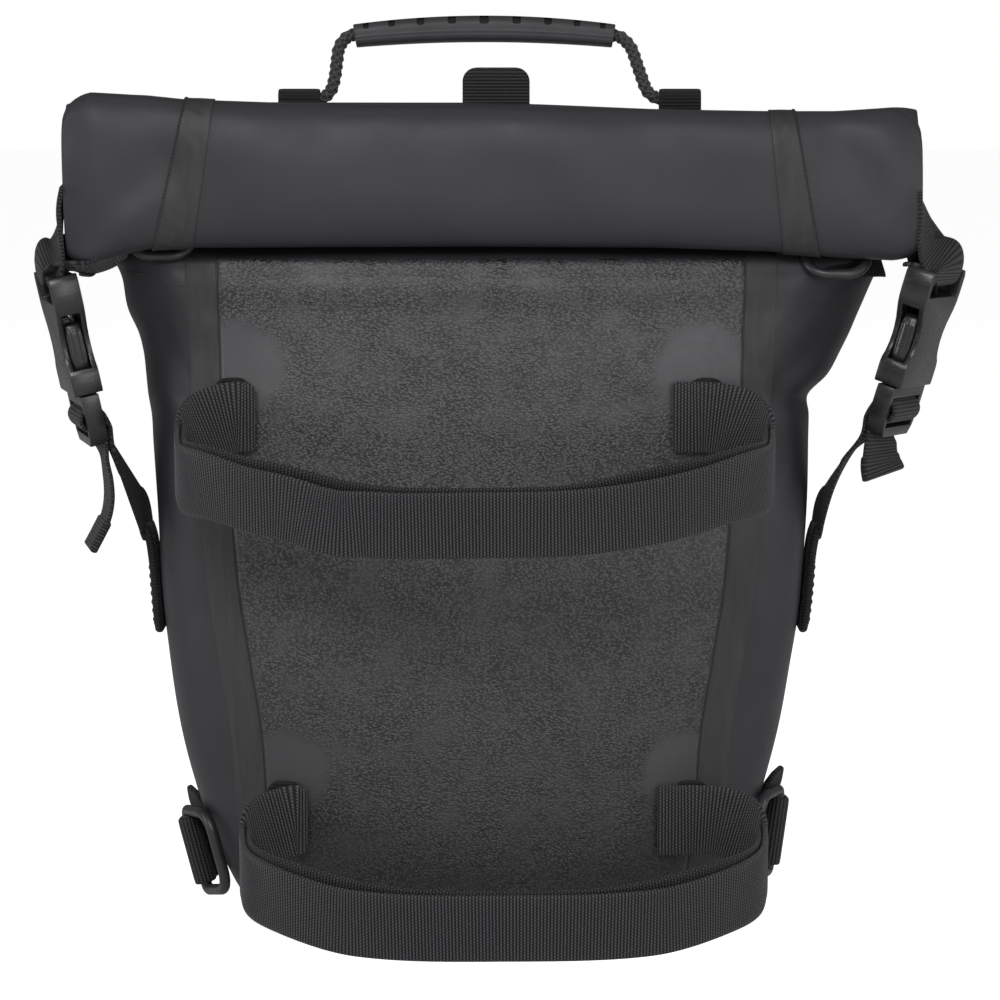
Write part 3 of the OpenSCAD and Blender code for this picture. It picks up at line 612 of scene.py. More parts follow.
def wall_y(x, z, side=-1):
    """Depth of the sack's outer face at x, z on the back (-1) or the front (1), slack included."""
    half, mid, back, front, square = np.moveaxis(section_at(z), -1, 0)
    u = np.minimum(1, np.abs(x - mid) / half)
    y = (back + front) / 2 + side * (front - back) / 2 * (1 - u**square) ** (1 / square)
    return y + side * swell(x, y, z)


def wall_at(x, z, side=-1):
    """wall_y at a single point."""
    return float(wall_y(np.array(float(x)), np.array(float(z)), side))


def sack_ring(z, inset, count):
    half, mid, back, front, square = section_at(z)
    t = np.linspace(0, 1, 321)
    a = (1 - np.cos(np.pi * t)) * np.pi / 4
    x = np.cos(a).clip(0) ** (2 / square) * (half - inset)
    y = np.sin(a).clip(0) ** (2 / square) * ((front - back) / 2 - inset)
    run = np.concatenate([[0], np.cumsum(np.hypot(np.diff(x), np.diff(y)))])
    at = np.linspace(0, run[-1], count // 4 + 1)
    x, y = np.interp(at, run, x), np.interp(at, run, y)
    px = np.concatenate([x[:-1], -x[:0:-1], -x[:-1], x[:0:-1]]) + mid
    py = np.concatenate([y[:-1], y[:0:-1], -y[:-1], -y[:0:-1]]) + (back + front) / 2
    pz = z - mouth_dip(px) * smoothstep(np.full(count, float(z)), 280, 297)
    ring = np.stack([px, py, pz], axis=-1)
    tangent = np.roll(ring, -1, axis=0) - np.roll(ring, 1, axis=0)
    normal = unit(np.stack([tangent[:, 1], -tangent[:, 0], np.zeros(count)], axis=-1))
    return ring + normal * swell(px, py, ring[:, 2])[:, None]


def mouth_dip(x):
    """How far the mouth sits below its full height: the roll is thinner towards the right."""
    return 3.2 * smoothstep(x, -10, 95) * (1 - 0.5 * smoothstep(x, 128, 150))


RING_COUNT = 440


def make_sack(material):
    """The welded shell: base, tapering body, folded shoulders and the neck pressed flat under the roll."""
    base = sack_ring(0, 0, RING_COUNT)
    rings = [base * f for f in (0.04, 0.2, 0.4, 0.6, 0.8, 0.93)]
    rounded = [0, 0.5, 1.2, 2, 3, 4.2, 5.6]
    heights = np.concatenate([rounded, np.arange(7, 236, 1.25), np.arange(236, 297, 0.8)])
    rings += [sack_ring(z, 0, RING_COUNT) for z in heights]
    last = sack_ring(297, 0, RING_COUNT)
    mouth_y = -26.5
    for lift, depth in ((0.9, 0.8), (1.6, 0.5), (2.0, 0.2)):
        ring = last.copy()
        ring[:, 1] = mouth_y + (last[:, 1] - mouth_y) * depth
        ring[:, 2] += lift
        rings.append(ring)
    count = RING_COUNT // 2
    inner_heights = np.concatenate([np.arange(3, 240, 4), np.arange(240, 294, 2)])
    inner = [sack_ring(z, WALL, count) for z in inner_heights]
    faces = ring_faces(len(rings), RING_COUNT) + ring_faces(len(inner), count, len(rings) * RING_COUNT)
    return make_object("sack_shell", np.concatenate(rings + inner), faces, material)


def wall_sheet(name, zs, lefts, rights, columns, gap, thick, rounding, material):
    """Sheet lying on the back wall with rounded edges; columns are fractions from left to right."""
    z = np.repeat(zs[:, None], len(columns), axis=1)
    x = lefts[:, None] + (rights - lefts)[:, None] * columns[None, :]
    reach = np.minimum.reduce([x - lefts[:, None], rights[:, None] - x, z - zs[0], zs[-1] - z])
    f = np.clip(reach / rounding, 0, 1)
    rise = thick * rounded(f, 0.02)
    y = wall_y(x, z)
    front = np.stack([x, y - (gap + rise), z], axis=-1)
    back = np.stack([x, y - gap * 0.4, z], axis=-1)
    return sheet_solid(name, front, back, material)


EDGE_Z = np.arange(10, 250)
EDGE_BLUR = 17                          # width of the moving mean that rounds the corners of PANEL_EDGE
EDGE_HALF = np.convolve(
    np.pad(np.interp(EDGE_Z, PANEL_EDGE[:, 0], PANEL_EDGE[:, 1]), EDGE_BLUR // 2, mode="edge"),
    np.ones(EDGE_BLUR) / EDGE_BLUR, mode="valid")


def panel_edge(z):
    """Half width of the back panel."""
    return np.interp(z, EDGE_Z, EDGE_HALF)


FINE_EDGE = (0, 0.1, 0.25, 0.5)


def edge_columns(width, count, fine=FINE_EDGE):
    """Fractions across a sheet, closer together at both edges; fine is in millimetres."""
    edge = np.array(fine) / width
    return np.concatenate([edge, np.linspace(edge[-1], 1 - edge[-1], count)[1:-1], 1 - edge[::-1]])


PANEL_LOW, PANEL_HIGH = 12.0, 247.0
PANEL_FINE = (0, 0.12, 0.3, 0.6, 1.0, 1.6)
SIDE_TAPE_LOW, SIDE_TAPE_H, SIDE_TAPE_W = 16, 234, 11


def make_panel(material):
    zs = PANEL_LOW + (PANEL_HIGH - PANEL_LOW) * edge_columns(PANEL_HIGH - PANEL_LOW, 170, PANEL_FINE)
    edge = panel_edge(zs)
    columns = edge_columns(180, 120, PANEL_FINE)
    return wall_sheet("grip_panel_sheet", zs, PANEL_X - edge, PANEL_X + edge, columns, SKIN_GAP, PANEL_T, 1.2,
                      material)


def make_side_tape(side, material):
    sign = SIDE_SIGN[side]
    zs = SIDE_TAPE_LOW + SIDE_TAPE_H * edge_columns(SIDE_TAPE_H, 150)
    inner = panel_edge(zs) + 0.5
    lefts, rights = [PANEL_X + sign * inner, PANEL_X + sign * (inner + SIDE_TAPE_W)][::sign]
    columns = edge_columns(SIDE_TAPE_W, 10)
    return wall_sheet(f"side_tape_strip_{side}", zs, lefts, rights, columns, 0.1, 0.25, 1.5, material)


def wall_line(points, side, lift):
    """A line drawn on the wall through x, z points, standing off by lift."""
    line = spline([(x, 0, z) for x, z in points], 1.0)
    line[:, 1] = wall_y(line[:, 0], line[:, 2], side) + side * lift
    return line


# Weld ridges where the folded shoulders are closed: x, z points, and the wall they lie on
GUSSET_SEAMS = [
    ([(-127, 241.5), (-118, 240.6), (-108, 237.6), (-101, 236.4)], -1),
    ([(112, 232.8), (120, 230.4), (128, 229.6), (133, 229.4)], -1),
    ([(-104, 228), (-99, 227.4), (-96.5, 227.6)], -1),
    ([(98, 222), (103, 222.6), (107, 221.2)], -1),
    ([(-112, 214), (-60, 209), (0, 208), (60, 209), (113, 214)], 1),
]


def make_gusset_seams(material):
    parts = Parts()
    for route, side in GUSSET_SEAMS:
        line = wall_line(route, side, 0.02)
        fade = np.sin(np.pi * np.linspace(0.02, 0.98, len(line))) ** 0.4
        parts.add_rings(tube_rings(line, (0, 1, 0), 0.42 * fade, 10, 0.55))
    return parts.build("gusset_seams", material)


# ------------------------------------------------------------------ rolled closure

ROLL_X, ROLL_Y, ROLL_Z = 2.8, -50.5, 275.6
ROLL_LEN, ROLL_H, ROLL_T = 303.0, 53.2, 25.0
ROLL_TURNS, ROLL_SHEET, ROLL_PITCH = 2.6, 2.0, 3.2
ROLL_SQUARE, ROLL_START = 3.0, 55.0
ROLL_LEAD = [(-25.0, 298.3), (-31.5, 300.6)]
ROLL_CORNER = 10.5
RING_ROOM, RING_ROOM_WIDTH = 3.2, 17    # the roll's underside is raised over the upper left ring

# Top and bottom of the roll along its length: x, top z, bottom z
ROLL_PROFILE = np.array([
    [-149, 304.6, 242.0], [-143, 305.2, 241.8], [-138, 306.0, 242.8], [-130, 305.5, 245.0],
    [-124, 305.1, 246.7], [-118, 304.8, 247.9], [-104, 303.2, 248.6], [-60, 301.5, 249.0],
    [0, 301.2, 249.2], [60, 299.7, 248.9],
    [100, 299.0, 247.6], [124, 299.0, 245.4], [144, 300.3, 244.2], [155, 299.8, 244.6],
])
# Soft creases of the roll's face: start x, z, end x, z, width, depth
ROLL_CREASES = [
    (-112, 280, -142, 255, 7, 1.5), (-118, 268, -136, 250, 5, -0.8), (-145, 292, -120, 270, 8, 0.5),
    (124, 288, 146, 262, 8, 1.3), (118, 276, 140, 296, 9, 0.6), (136, 252, 150, 270, 6, -0.7),
    (-92, 297, -60, 290, 8, 0.4), (-40, 266, 60, 262, 16, -0.8), (92, 296, 60, 288, 9, 0.4),
]


def roll_path():
    """The sheet's middle line from the mouth into the spiral, as y and z, and how many points lead in."""
    steps_per_turn = 56
    count = int(ROLL_TURNS * steps_per_turn)
    a = np.radians(ROLL_START) + np.arange(count + 1) * 2 * np.pi / steps_per_turn
    shrink = ROLL_PITCH * (np.degrees(a) - ROLL_START) / 360 + ROLL_SHEET / 2
    y = ROLL_Y + (ROLL_T / 2 - shrink) * spow(np.cos(a), 2 / ROLL_SQUARE)
    z = ROLL_Z + (ROLL_H / 2 - shrink) * spow(np.sin(a), 2 / ROLL_SQUARE)
    spiral = np.stack([y, z], axis=-1)
    lead = spline([(0, *p) for p in ROLL_LEAD + [tuple(spiral[0]), tuple(spiral[3])]], 1.2)[:, 1:]
    keep = [p for p in lead if p[0] > spiral[0][0] + 0.6]
    return np.concatenate([np.array(keep), spiral]), len(keep)


def shape_roll(x, y, z, share):
    """Gives the plain roll its real outline: uneven height, rounded corners and soft creases."""
    top = np.interp(x, ROLL_PROFILE[:, 0], ROLL_PROFILE[:, 1])
    bottom = np.interp(x, ROLL_PROFILE[:, 0], ROLL_PROFILE[:, 2])
    end = ROLL_LEN / 2 - np.abs(x - ROLL_X)
    near = np.clip(ROLL_CORNER - end, 0, ROLL_CORNER)
    corner = ROLL_CORNER - np.sqrt(np.maximum(ROLL_CORNER**2 - near**2, 0))
    half = (top - bottom) / 2 - corner * np.where(z > ROLL_Z, 1.0, 0.5)
    new_z = (top + bottom) / 2 + (z - ROLL_Z) * half / (ROLL_H / 2)
    flat = 1 - 0.16 * smoothstep(-end, -14, 0)
    depth = (y - ROLL_Y) / (ROLL_T / 2)
    new_y = ROLL_Y + (y - ROLL_Y) * flat
    facing = smoothstep(-depth, -0.2, 0.7)
    slack = 0.55 * np.sin(x / 23 + 0.7) * np.sin(z / 11 + x / 47) + 0.3 * np.sin(x / 9.0 + z / 17)
    new_y = new_y - facing * (slack + fold_depth(x, new_z, ROLL_CREASES))
    room = RING_ROOM * np.exp(-(((x - UPPER_RINGS["left"][0]) / RING_ROOM_WIDTH) ** 2))
    new_z = new_z + room * smoothstep(y - ROLL_Y, -4, 5) * smoothstep(ROLL_Z - z, 8, 22)
    return y + (new_y - y) * share, z + (new_z - z) * share - mouth_dip(x) * (1 - share)


def roll_end_x(x, z):
    """The left end of the roll leans in towards its foot."""
    near = 1 - smoothstep(x - ROLL_X + ROLL_LEN / 2, 0, 40)
    return x + near * (0.8 + 1.5 * np.clip((ROLL_Z + ROLL_H / 2 - z) / ROLL_H, 0, 1))


def roll_xs():
    """Places of the sections along the roll, closer together at its ends."""
    end = np.array([0, 0.25, 0.7, 1.4, 2.4, 3.6, 5.0, 6.6, 8.4, 10.4])
    low, high = ROLL_X - ROLL_LEN / 2, ROLL_X + ROLL_LEN / 2
    return np.concatenate([low + end, np.linspace(low + 12, high - 12, 190), high - end[::-1]])


def make_roll(material):
    path, lead = roll_path()
    xs = roll_xs()
    tangent = unit(np.gradient(path, axis=0))
    normal = np.stack([tangent[:, 1], -tangent[:, 0]], axis=-1)
    share = smoothstep(np.arange(len(path)), 0, lead + 10)[:, None]
    x = np.repeat(xs[None, :], len(path), axis=0)
    grids = []
    for off in (ROLL_SHEET / 2, -ROLL_SHEET / 2):
        flat = path + normal * off
        y = np.repeat(flat[:, :1], len(xs), axis=1)
        z = np.repeat(flat[:, 1:], len(xs), axis=1)
        y, z = shape_roll(x, y, z, share)
        grids.append(np.stack([roll_end_x(x, z), y, z], axis=-1))
    return sheet_solid("rolled_closure", grids[0], grids[1], material, 50)


def roll_face(x, angle, off):
    """Point on the outside of the roll at an angle round its middle, standing off by off."""
    off = off - ROLL_PITCH * (np.degrees(angle) - ROLL_START) / 360
    y = ROLL_Y + (ROLL_T / 2 + off) * spow(np.cos(angle), 2 / ROLL_SQUARE)
    z = ROLL_Z + (ROLL_H / 2 + off) * spow(np.sin(angle), 2 / ROLL_SQUARE)
    y, z = shape_roll(x, y, z, 1.0)
    return np.stack([x, y, z], axis=-1)


# Tape across the roll: x of the inner and outer edge at the top and at the bottom
ROLL_TAPES = {"left": (-94.0, -104.2, -101.5, -115.8), "right": (100.5, 109.5, 105.5, 118.5)}
TAPE_ANGLES = np.radians(np.linspace(72, 268, 90))


def tape_point(edges, f, angle, off):
    """f runs from the inner edge (0) to the stitched outer edge (1)."""
    inner_top, outer_top, inner_low, outer_low = edges
    drop = (1 - spow(np.sin(angle), 2 / ROLL_SQUARE)) / 2
    inner = inner_top + (inner_low - inner_top) * drop
    outer = outer_top + (outer_low - outer_top) * drop
    return roll_face(inner + (outer - inner) * f, angle, off)


ROLL_TAPE_W = 13


def make_roll_tape(side, material):
    edges = ROLL_TAPES[side]
    angle, frac = np.meshgrid(TAPE_ANGLES, edge_columns(ROLL_TAPE_W, 16), indexing="ij")
    rim = np.clip(np.minimum(frac, 1 - frac) * ROLL_TAPE_W / 0.5, 0, 1)
    ripple = 0.05 * np.sin(angle * 23 + frac * 9) * np.sin(frac * np.pi)
    rise = 0.15 + 0.35 * rounded(rim, 0.02) + ripple
    front = tape_point(edges, frac, angle, rise)
    back = tape_point(edges, frac, angle, 0.06)
    return sheet_solid(f"roll_tape_strip_{side}", front, back, material)


def make_roll_stitches(side, material):
    """Fine overlock stitching along the outer edge of a roll tape."""
    edges = ROLL_TAPES[side]
    parts = Parts()
    fine = np.radians(np.linspace(80, 262, 600))
    line = tape_point(edges, 0.97, fine, 0.6)
    run = run_along(line)
    pitch = 1.3
    for k in range(int(run[-1] / pitch)):
        angles = np.interp([k * pitch, (k + 0.35) * pitch, (k + 0.7) * pitch], run, fine)
        points = tape_point(edges, np.array([0.94, 0.985, 1.03]), angles, np.array([0.42, 0.66, 0.42]))
        parts.add_rings(tube_rings(spline(points, 0.3), (0, 1, 0.3), 0.19, 6))
    return parts.build(f"roll_tape_stitches_{side}", material)


# ------------------------------------------------------------------ handle

PIVOT_Y, PIVOT_Z = -19.5, 302.4
CORD_END = {"left": -57.0, "right": 62.0}
GRIP_X, GRIP_TOP, ARCH_R = 0.6, 334.0, 284.0
GRIP_LEN, GRIP_H, GRIP_D = 95.0, 11.6, 13.0
CORD_D = 4.2
TAB_LEN = 15.0
CORD_MID_Z = GRIP_TOP - GRIP_H / 2
DIMPLES = 9


def make_grip(material, dark):
    """Moulded grip: an arched bar with a lip along its lower third and notches below its top edge."""
    half_angle = math.asin((GRIP_LEN - 2.9) / 2 / ARCH_R)
    end = np.array([0.992, 0.996, 0.9985, 1])
    along = np.concatenate([-end[::-1], np.linspace(-0.988, 0.988, 420), end])
    t = np.linspace(0, 2 * np.pi, 145)[:-1]
    hy, hz = GRIP_D / 2, GRIP_H / 2
    square = 3.2
    y = hy * spow(np.cos(t), 2 / square)
    z = hz * spow(np.sin(t), 2 / square)
    lip = smoothstep(-z, hz * 0.1, hz * 0.34) * (1 - smoothstep(-z, hz * 0.82, hz * 0.95))
    y = y * (0.86 + 0.14 * lip)
    rings, marks = [], []
    steps = [(k - (DIMPLES - 1) / 2) / ((DIMPLES - 1) / 2) for k in range(DIMPLES)]
    spots = [0.905 * (1.1 * step - 0.1 * step**3) for step in steps]        # closer together at the ends
    for f in along:
        end = min(1.0, (1 - abs(f)) / 0.012)
        shrink = 1 - 0.05 * (1 - math.sqrt(max(0.0, 1 - (1 - end) ** 2)))
        angle = f * half_angle
        dip = np.zeros(len(t))
        for spot in spots:
            wide = 1.75 - 0.75 * abs(spot)
            deep = 3.5 - 0.7 * abs(spot)
            dx = abs(f - spot) * GRIP_LEN / 2 / wide
            dz = np.clip((hz - z) / deep - 0.35, 0, None) / 0.65
            inside = 1 - smoothstep((dx ** 3 + dz ** 3) ** (1 / 3), 0.86, 1.0)
            dip = np.maximum(dip, inside * (y < -1.8) * (z > 0))
        top, bottom = hz - 1.7 + 0.7 * f * f, -hz + 0.4 + 1.8 * f * f
        height = bottom + (z + hz) / (2 * hz) * (top - bottom)
        r = ARCH_R + (height - 0.5 * dip) * shrink
        x = GRIP_X + r * math.sin(angle)
        zz = CORD_MID_Z - ARCH_R + r * math.cos(angle)
        rings.append(np.stack([x, PIVOT_Y + (y + 1.5 * dip) * shrink, zz], axis=-1))
        marks.append(dip > 0.35)
    faces = ring_faces(len(rings), len(t))
    piece = make_object("handle_grip_moulding", np.concatenate(rings), faces, material, crease=55)
    piece.data.materials.append(dark)
    marks = np.concatenate(marks)
    for face in piece.data.polygons:
        if len(face.vertices) == 4 and sum(marks[v] for v in face.vertices) >= 3:
            face.material_index = 1
    return piece


# The cord from each tab up into the grip: x outwards from the tab's inner end, height above the pivot
CORD_RISE = {
    "left": [(12, 0), (4, 0), (0, 0.6), (-2.6, 3), (-4.2, 8), (-5, 14), (-6, 19), (-8.6, 22.2)],
    "right": [(12, 0), (4, 0), (0, 0.6), (-3, 2.8), (-5, 7.4), (-7, 13), (-9.4, 19), (-12.4, 22)],
}
STRANDS, STRAND_R, BRAID_LEAD = 4, 0.72, 11.0


def cord_route():
    route = {}
    for side, rows in CORD_RISE.items():
        route[side] = [(CORD_END[side] + SIDE_SIGN[side] * out, PIVOT_Y, PIVOT_Z + up) for out, up in rows]
    foot = CORD_MID_Z - ARCH_R
    arch = [(GRIP_X + x, PIVOT_Y, foot + math.sqrt(ARCH_R**2 - x * x)) for x in range(-40, 41, 10)]
    return route["left"] + arch + route["right"][::-1]


def make_cord(material):
    """Eight strands braided over and under each other round a core; the braid stops inside the grip."""
    path = spline(cord_route(), 0.45)
    run = run_along(path)
    over = np.array([0.0, 1.0, 0.0])
    side = np.cross(unit(np.gradient(path, axis=0)), over)
    parts = Parts()
    parts.add_rings(tube_rings(path, over, CORD_D / 2 * 0.62, 12))
    hidden = np.abs(path[:, 0] - GRIP_X) < GRIP_LEN / 2 - 8
    first, last = int(np.argmax(hidden)), len(hidden) - int(np.argmax(hidden[::-1]))
    for turn in (1, -1):
        for k in range(STRANDS):
            phase = turn * 2 * np.pi * run / BRAID_LEAD + 2 * np.pi * k / STRANDS
            lift = turn * 0.26 * np.cos(STRANDS * 2 * np.pi * run / BRAID_LEAD)
            radius = CORD_D / 2 - 0.62 + lift
            way = side * np.cos(phase)[:, None] + over * np.sin(phase)[:, None]
            centre = path + way * radius[:, None]
            for stretch in (centre[:first], centre[last:]):
                parts.add_rings(tube_rings(stretch, (0.31, 0.9, 0.17), STRAND_R, 9))
    return parts.build("handle_cord_braid", material)


def arc_stations(x, y, z, r, degrees):
    """Stations round a bar along X, with normals that point away from it."""
    turns = [math.radians(a) for a in degrees]
    return [(x, y + r * math.cos(a), z + r * math.sin(a), 0, math.cos(a), math.sin(a)) for a in turns]


def make_handle_tab(side, material):
    """Flat webbing folded round the cord's end and sewn down on the neck."""
    mid = CORD_END[side] + SIDE_SIGN[side] * (1 + TAB_LEN / 2)
    r = CORD_D / 2 + 1.0

    def leg(rows):
        return [(mid, PIVOT_Y + y, PIVOT_Z + z, 0, ny, nz) for y, z, ny, nz in rows]

    stations = leg([(r + 1.9, -24, 1, 0), (r + 0.9, -12, 1, 0.05), (r, -2, 1, 0.1)])
    stations += arc_stations(mid, PIVOT_Y, PIVOT_Z, r, range(20, 200, 20))
    stations += leg([(0.3 - r, -4, -1, -0.1), (1.6 - r, -9, -1, -0.2)])
    return band(f"handle_tab_web_{side}", stations, TAB_LEN, 1.4, material)


LOOP_X, LOOP_TOP, LOOP_W = 4.8, 313.8, 24
LOOP_ROUNDING = 5.0


def make_top_loop(material):
    """Webbing folded into a standing loop behind the middle of the roll."""
    r = 2.3
    y0, z0 = PIVOT_Y + 0.8, LOOP_TOP - 3.1
    rising = [(y0 - r + 0.4, z0 - 24), (y0 - r - 0.1, z0 - 14), (y0 - r, z0 - 5)]
    falling = [(y0 + r, z0 - 5), (y0 + r + 0.2, z0 - 14), (y0 + r, z0 - 24)]
    stations = [(LOOP_X, y, z, 0, -1, 0) for y, z in rising]
    stations += arc_stations(LOOP_X, y0, z0, r, range(180, -1, -20))
    stations += [(LOOP_X, y, z, 0, 1, 0) for y, z in falling]
    piece = band("top_loop_web", stations, LOOP_W, 1.5, material)
    straight = LOOP_W / 2 - LOOP_ROUNDING
    for v in piece.data.vertices:
        gap = (LOOP_TOP * MM - v.co.z) / MM
        across = v.co.x / MM - LOOP_X
        if gap < LOOP_ROUNDING and abs(across) > straight:
            limit = straight + math.sqrt(max(0.0, LOOP_ROUNDING**2 - (LOOP_ROUNDING - gap) ** 2))
            if abs(across) > limit:
                v.co.x = (LOOP_X + math.copysign(limit, across)) * MM
    return piece


FRONT_STRIP_ZS = [70, 86, 102, 126, 150, 166, 180, 190, 198, 206, 212, 220, 227, 235, 242, 248, 253, 259, 264,
                  276, 284]


def make_front_strip(material, thread):
    stations = []
    for z in FRONT_STRIP_ZS:
        up = wall_at(LOOP_X, z + 1.5, 1) - wall_at(LOOP_X, z - 1.5, 1)
        stations.append((LOOP_X, wall_at(LOOP_X, z, 1) + 1.4, z, 0, 3.0, -up))
    piece = band("front_strip_web", stations, 25, 1.5, material, round_start=2.0, hem_start=12)
    depths = [row[1] for row in stations]

    def at(x, z):
        return (LOOP_X + x, np.interp(z, FRONT_STRIP_ZS, depths) + 0.85, z)

    parts = Parts()
    for low, high in ((73, 93), (270, 282)):
        stitch_box(parts, at, low, high, 10.5, (0, 1, 0))
    return piece, parts.build("front_strip_stitches", thread)


# ------------------------------------------------------------------ buckles

# Each buckle's top middle, bottom middle and turn about its own length
BUCKLES = {"left": ((-151.5, -42, 241.5), (-139.6, -36, 186), 15.0),
           "right": ((161, -45, 243.5), (146, -38, 191.5), 27.0)}
FEMALE_LEN = 43.0
WEB_W, WEB_T = 25.0, 1.6


def buckle_matrix(side):
    """Local frame of a buckle in millimetres: X thickness, Y width, Z length, mouth at the origin."""
    top, bottom, turn = BUCKLES[side]
    sign = SIDE_SIGN[side]
    along = (Vector(top) - Vector(bottom)).normalized()
    lean_x = math.atan2(along.x, math.hypot(along.y, along.z))
    lean_y = math.atan2(along.y, along.z)
    place = Vector(top) - along * FEMALE_LEN
    return (Matrix.Translation(place) @ Matrix.Rotation(-lean_y, 4, "X") @ Matrix.Rotation(lean_x, 4, "Y")
            @ Matrix.Rotation(math.radians(-sign * turn), 4, "Z"))


def on_buckle(side, s, off, width=0.0):
    """Point at s along the buckle, off towards its outer face and width across it."""
    return buckle_matrix(side) @ Vector((SIDE_SIGN[side] * off, width, s))


def buckle_way(side, off, s):
    """Direction given by its outward and lengthwise parts."""
    return buckle_matrix(side).to_3x3() @ Vector((SIDE_SIGN[side] * off, 0, s))


def buckle_station(side, s, off, out, up=0):
    """Webbing station on a buckle; its normal is given by outward and lengthwise parts."""
    return (*on_buckle(side, s, off), *buckle_way(side, out, up))


def moulded_copy(name, node, matrix, radius, material):
    """A copy of a CAD solid with rounded moulded edges, worked in the solid's own axes."""
    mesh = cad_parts[node].data.copy()
    mesh.name = name
    local = Matrix.Scale(MM, 4) @ matrix @ Matrix.Scale(1 / MM, 4)
    mesh.transform(local.inverted())
    work = bmesh.new()
    work.from_mesh(mesh)
    bmesh.ops.remove_doubles(work, verts=work.verts, dist=0.00001)
    bmesh.ops.dissolve_limit(work, angle_limit=math.radians(1), verts=work.verts, edges=work.edges)
    work.to_mesh(mesh)
    work.free()
    piece = add_object(name, mesh)
    mesh.materials.clear()
    mesh.materials.append(material)
    bevel = piece.modifiers.new("bevel", "BEVEL")
    bevel.width = radius * MM
    bevel.segments = 3
    bevel.limit_method = "ANGLE"
    bevel.angle_limit = math.radians(28)
    final = bpy.data.meshes.new_from_object(piece.evaluated_get(bpy.context.evaluated_depsgraph_get()))
    piece.modifiers.clear()
    piece.data = final
    final.transform(local)
    final.shade_smooth()
    final.set_sharp_from_angle(angle=math.radians(38))
    return piece


# Outer and inner edge of a prong: length from the mouth, distance from the middle
PRONG_OUTER = [(0, 9.7), (6, 11.2), (11, 12.4), (15, 12.55), (22, 12.55), (25, 11.6), (26, 9.8)]
PRONG_INNER = [(0, 7.5), (6, 8.6), (13, 10.2), (21, 10.2), (25, 8.8), (26, 9.0)]


def make_prong(side, where, material):
    """A springy arm with a half-round finger pad that carries three fine grooves."""
    sign = -1 if where == "near" else 1
    s = np.concatenate([[-0.4, -0.2, 0.3, 0.9], np.linspace(1.6, 24.4, 60), [24.9, 25.4, 25.8, 26.0]])
    outer = np.interp(s, *zip(*PRONG_OUTER))
    inner = np.interp(s, *zip(*PRONG_INNER))
    t = np.linspace(0, 2 * np.pi, 49)[:-1]
    gap = np.minimum(s + 0.45, 26.05 - s)
    cap = rounded(np.clip(gap / 1.1, 0, 1), 0.06)
    wide = 2.95 * spow(np.cos(t), 0.85)[None, :] * cap[:, None]
    bulge = spow(np.sin(t), 0.85)[None, :] * cap[:, None]
    y = ((outer + inner) / 2)[:, None] + ((outer - inner) / 2)[:, None] * bulge
    pad = (smoothstep(s, 9, 12) * (1 - smoothstep(s, 22, 24.5)))[:, None]
    y = y - 0.22 * pad * np.clip(bulge, 0, 1) * (0.5 + 0.5 * np.cos(wide * 2 * np.pi / 1.5))
    matrix = buckle_matrix(side)
    points = []
    for row_x, row_y, height in zip(wide, y, s):
        points += [matrix @ Vector((x, sign * v, height)) for x, v in zip(row_x, row_y)]
    return make_object(f"prong_{side}_{where}_arm", np.array(points), ring_faces(len(s), len(t)), material)


# ------------------------------------------------------------------ closure webbing


# Webbing to and from the female buckle's bar: x outwards from the roll's end, y, z and the normal
ARRIVE = {
    "left": [(-23, -44, 248.4, 0.25, -0.1, -1), (-16, -44.5, 245.4, 0.25, -0.2, -1),
             (-10, -45, 243.6, 0.15, -0.2, -1), (-4.5, -45.5, 243.0, -0.1, -0.2, -1)],
    "right": [(-5, -44.5, 244.8, -0.1, 0, -1), (-1, -45, 244.4, -0.3, 0, -1)],
}
LEAVE = {
    "left": [(1.8, -45, 248, -1, -0.22, -0.1), (0.2, -47.5, 256, -1, -0.1, 0),
             (-0.2, -49.5, 266, -1, 0, 0), (-1.6, -50, 273.5, -1, 0, 0)],
    "right": [(4.6, -46.5, 250, 0.85, -0.45, 0.2), (1.6, -48, 257, 0.95, -0.3, 0.2),
              (0.3, -49.5, 264.5, 1, -0.1, 0.1), (-1.0, -50, 271.5, 1, 0, 0)],
}
BAR_S, BAR_WRAP_R = 41.0, 3.9


def make_roll_webbing(side, material):
    """Webbing from under the roll's end, round the bar of the female buckle and up behind the roll's edge."""
    sign = SIDE_SIGN[side]
    end = ROLL_X + sign * (ROLL_LEN / 2)
    arrive, leave = ([(end + sign * out, *row) for out, *row in rows] for rows in (ARRIVE[side], LEAVE[side]))
    stations = arrive + [buckle_station(side, BAR_S + 2, -BAR_WRAP_R, -1)]
    for degrees in range(180, 361, 30):
        c, s = math.cos(math.radians(degrees)), math.sin(math.radians(degrees))
        stations.append(buckle_station(side, BAR_S + BAR_WRAP_R * s, BAR_WRAP_R * c, c, s))
    stations += [buckle_station(side, BAR_S + 3.4, BAR_WRAP_R, 1)] + leave
    return band(f"roll_webbing_web_{side}", stations, WEB_W, WEB_T, material)


# Webbing over the ladder lock's middle bar: off the buckle's middle, along it, and the normal's two parts
LOCK_ROUTE = [
    (-4.3, -13, -1, 0), (-3.9, -8.6, -1, 0.2), (-1.9, -6.3, -0.4, 1), (0.6, -6.1, 0.1, 1),
    (3.2, -6.9, 0.7, 0.8), (4.5, -9.0, 1, 0.1), (4.2, -11.4, 1, -0.4), (2.2, -13.4, 0.6, -0.9),
    (-1.0, -14.8, 0.9, -0.7), (-2.6, -17.2, 1, -0.2), (-2.3, -20.2, 1, 0.1),
]
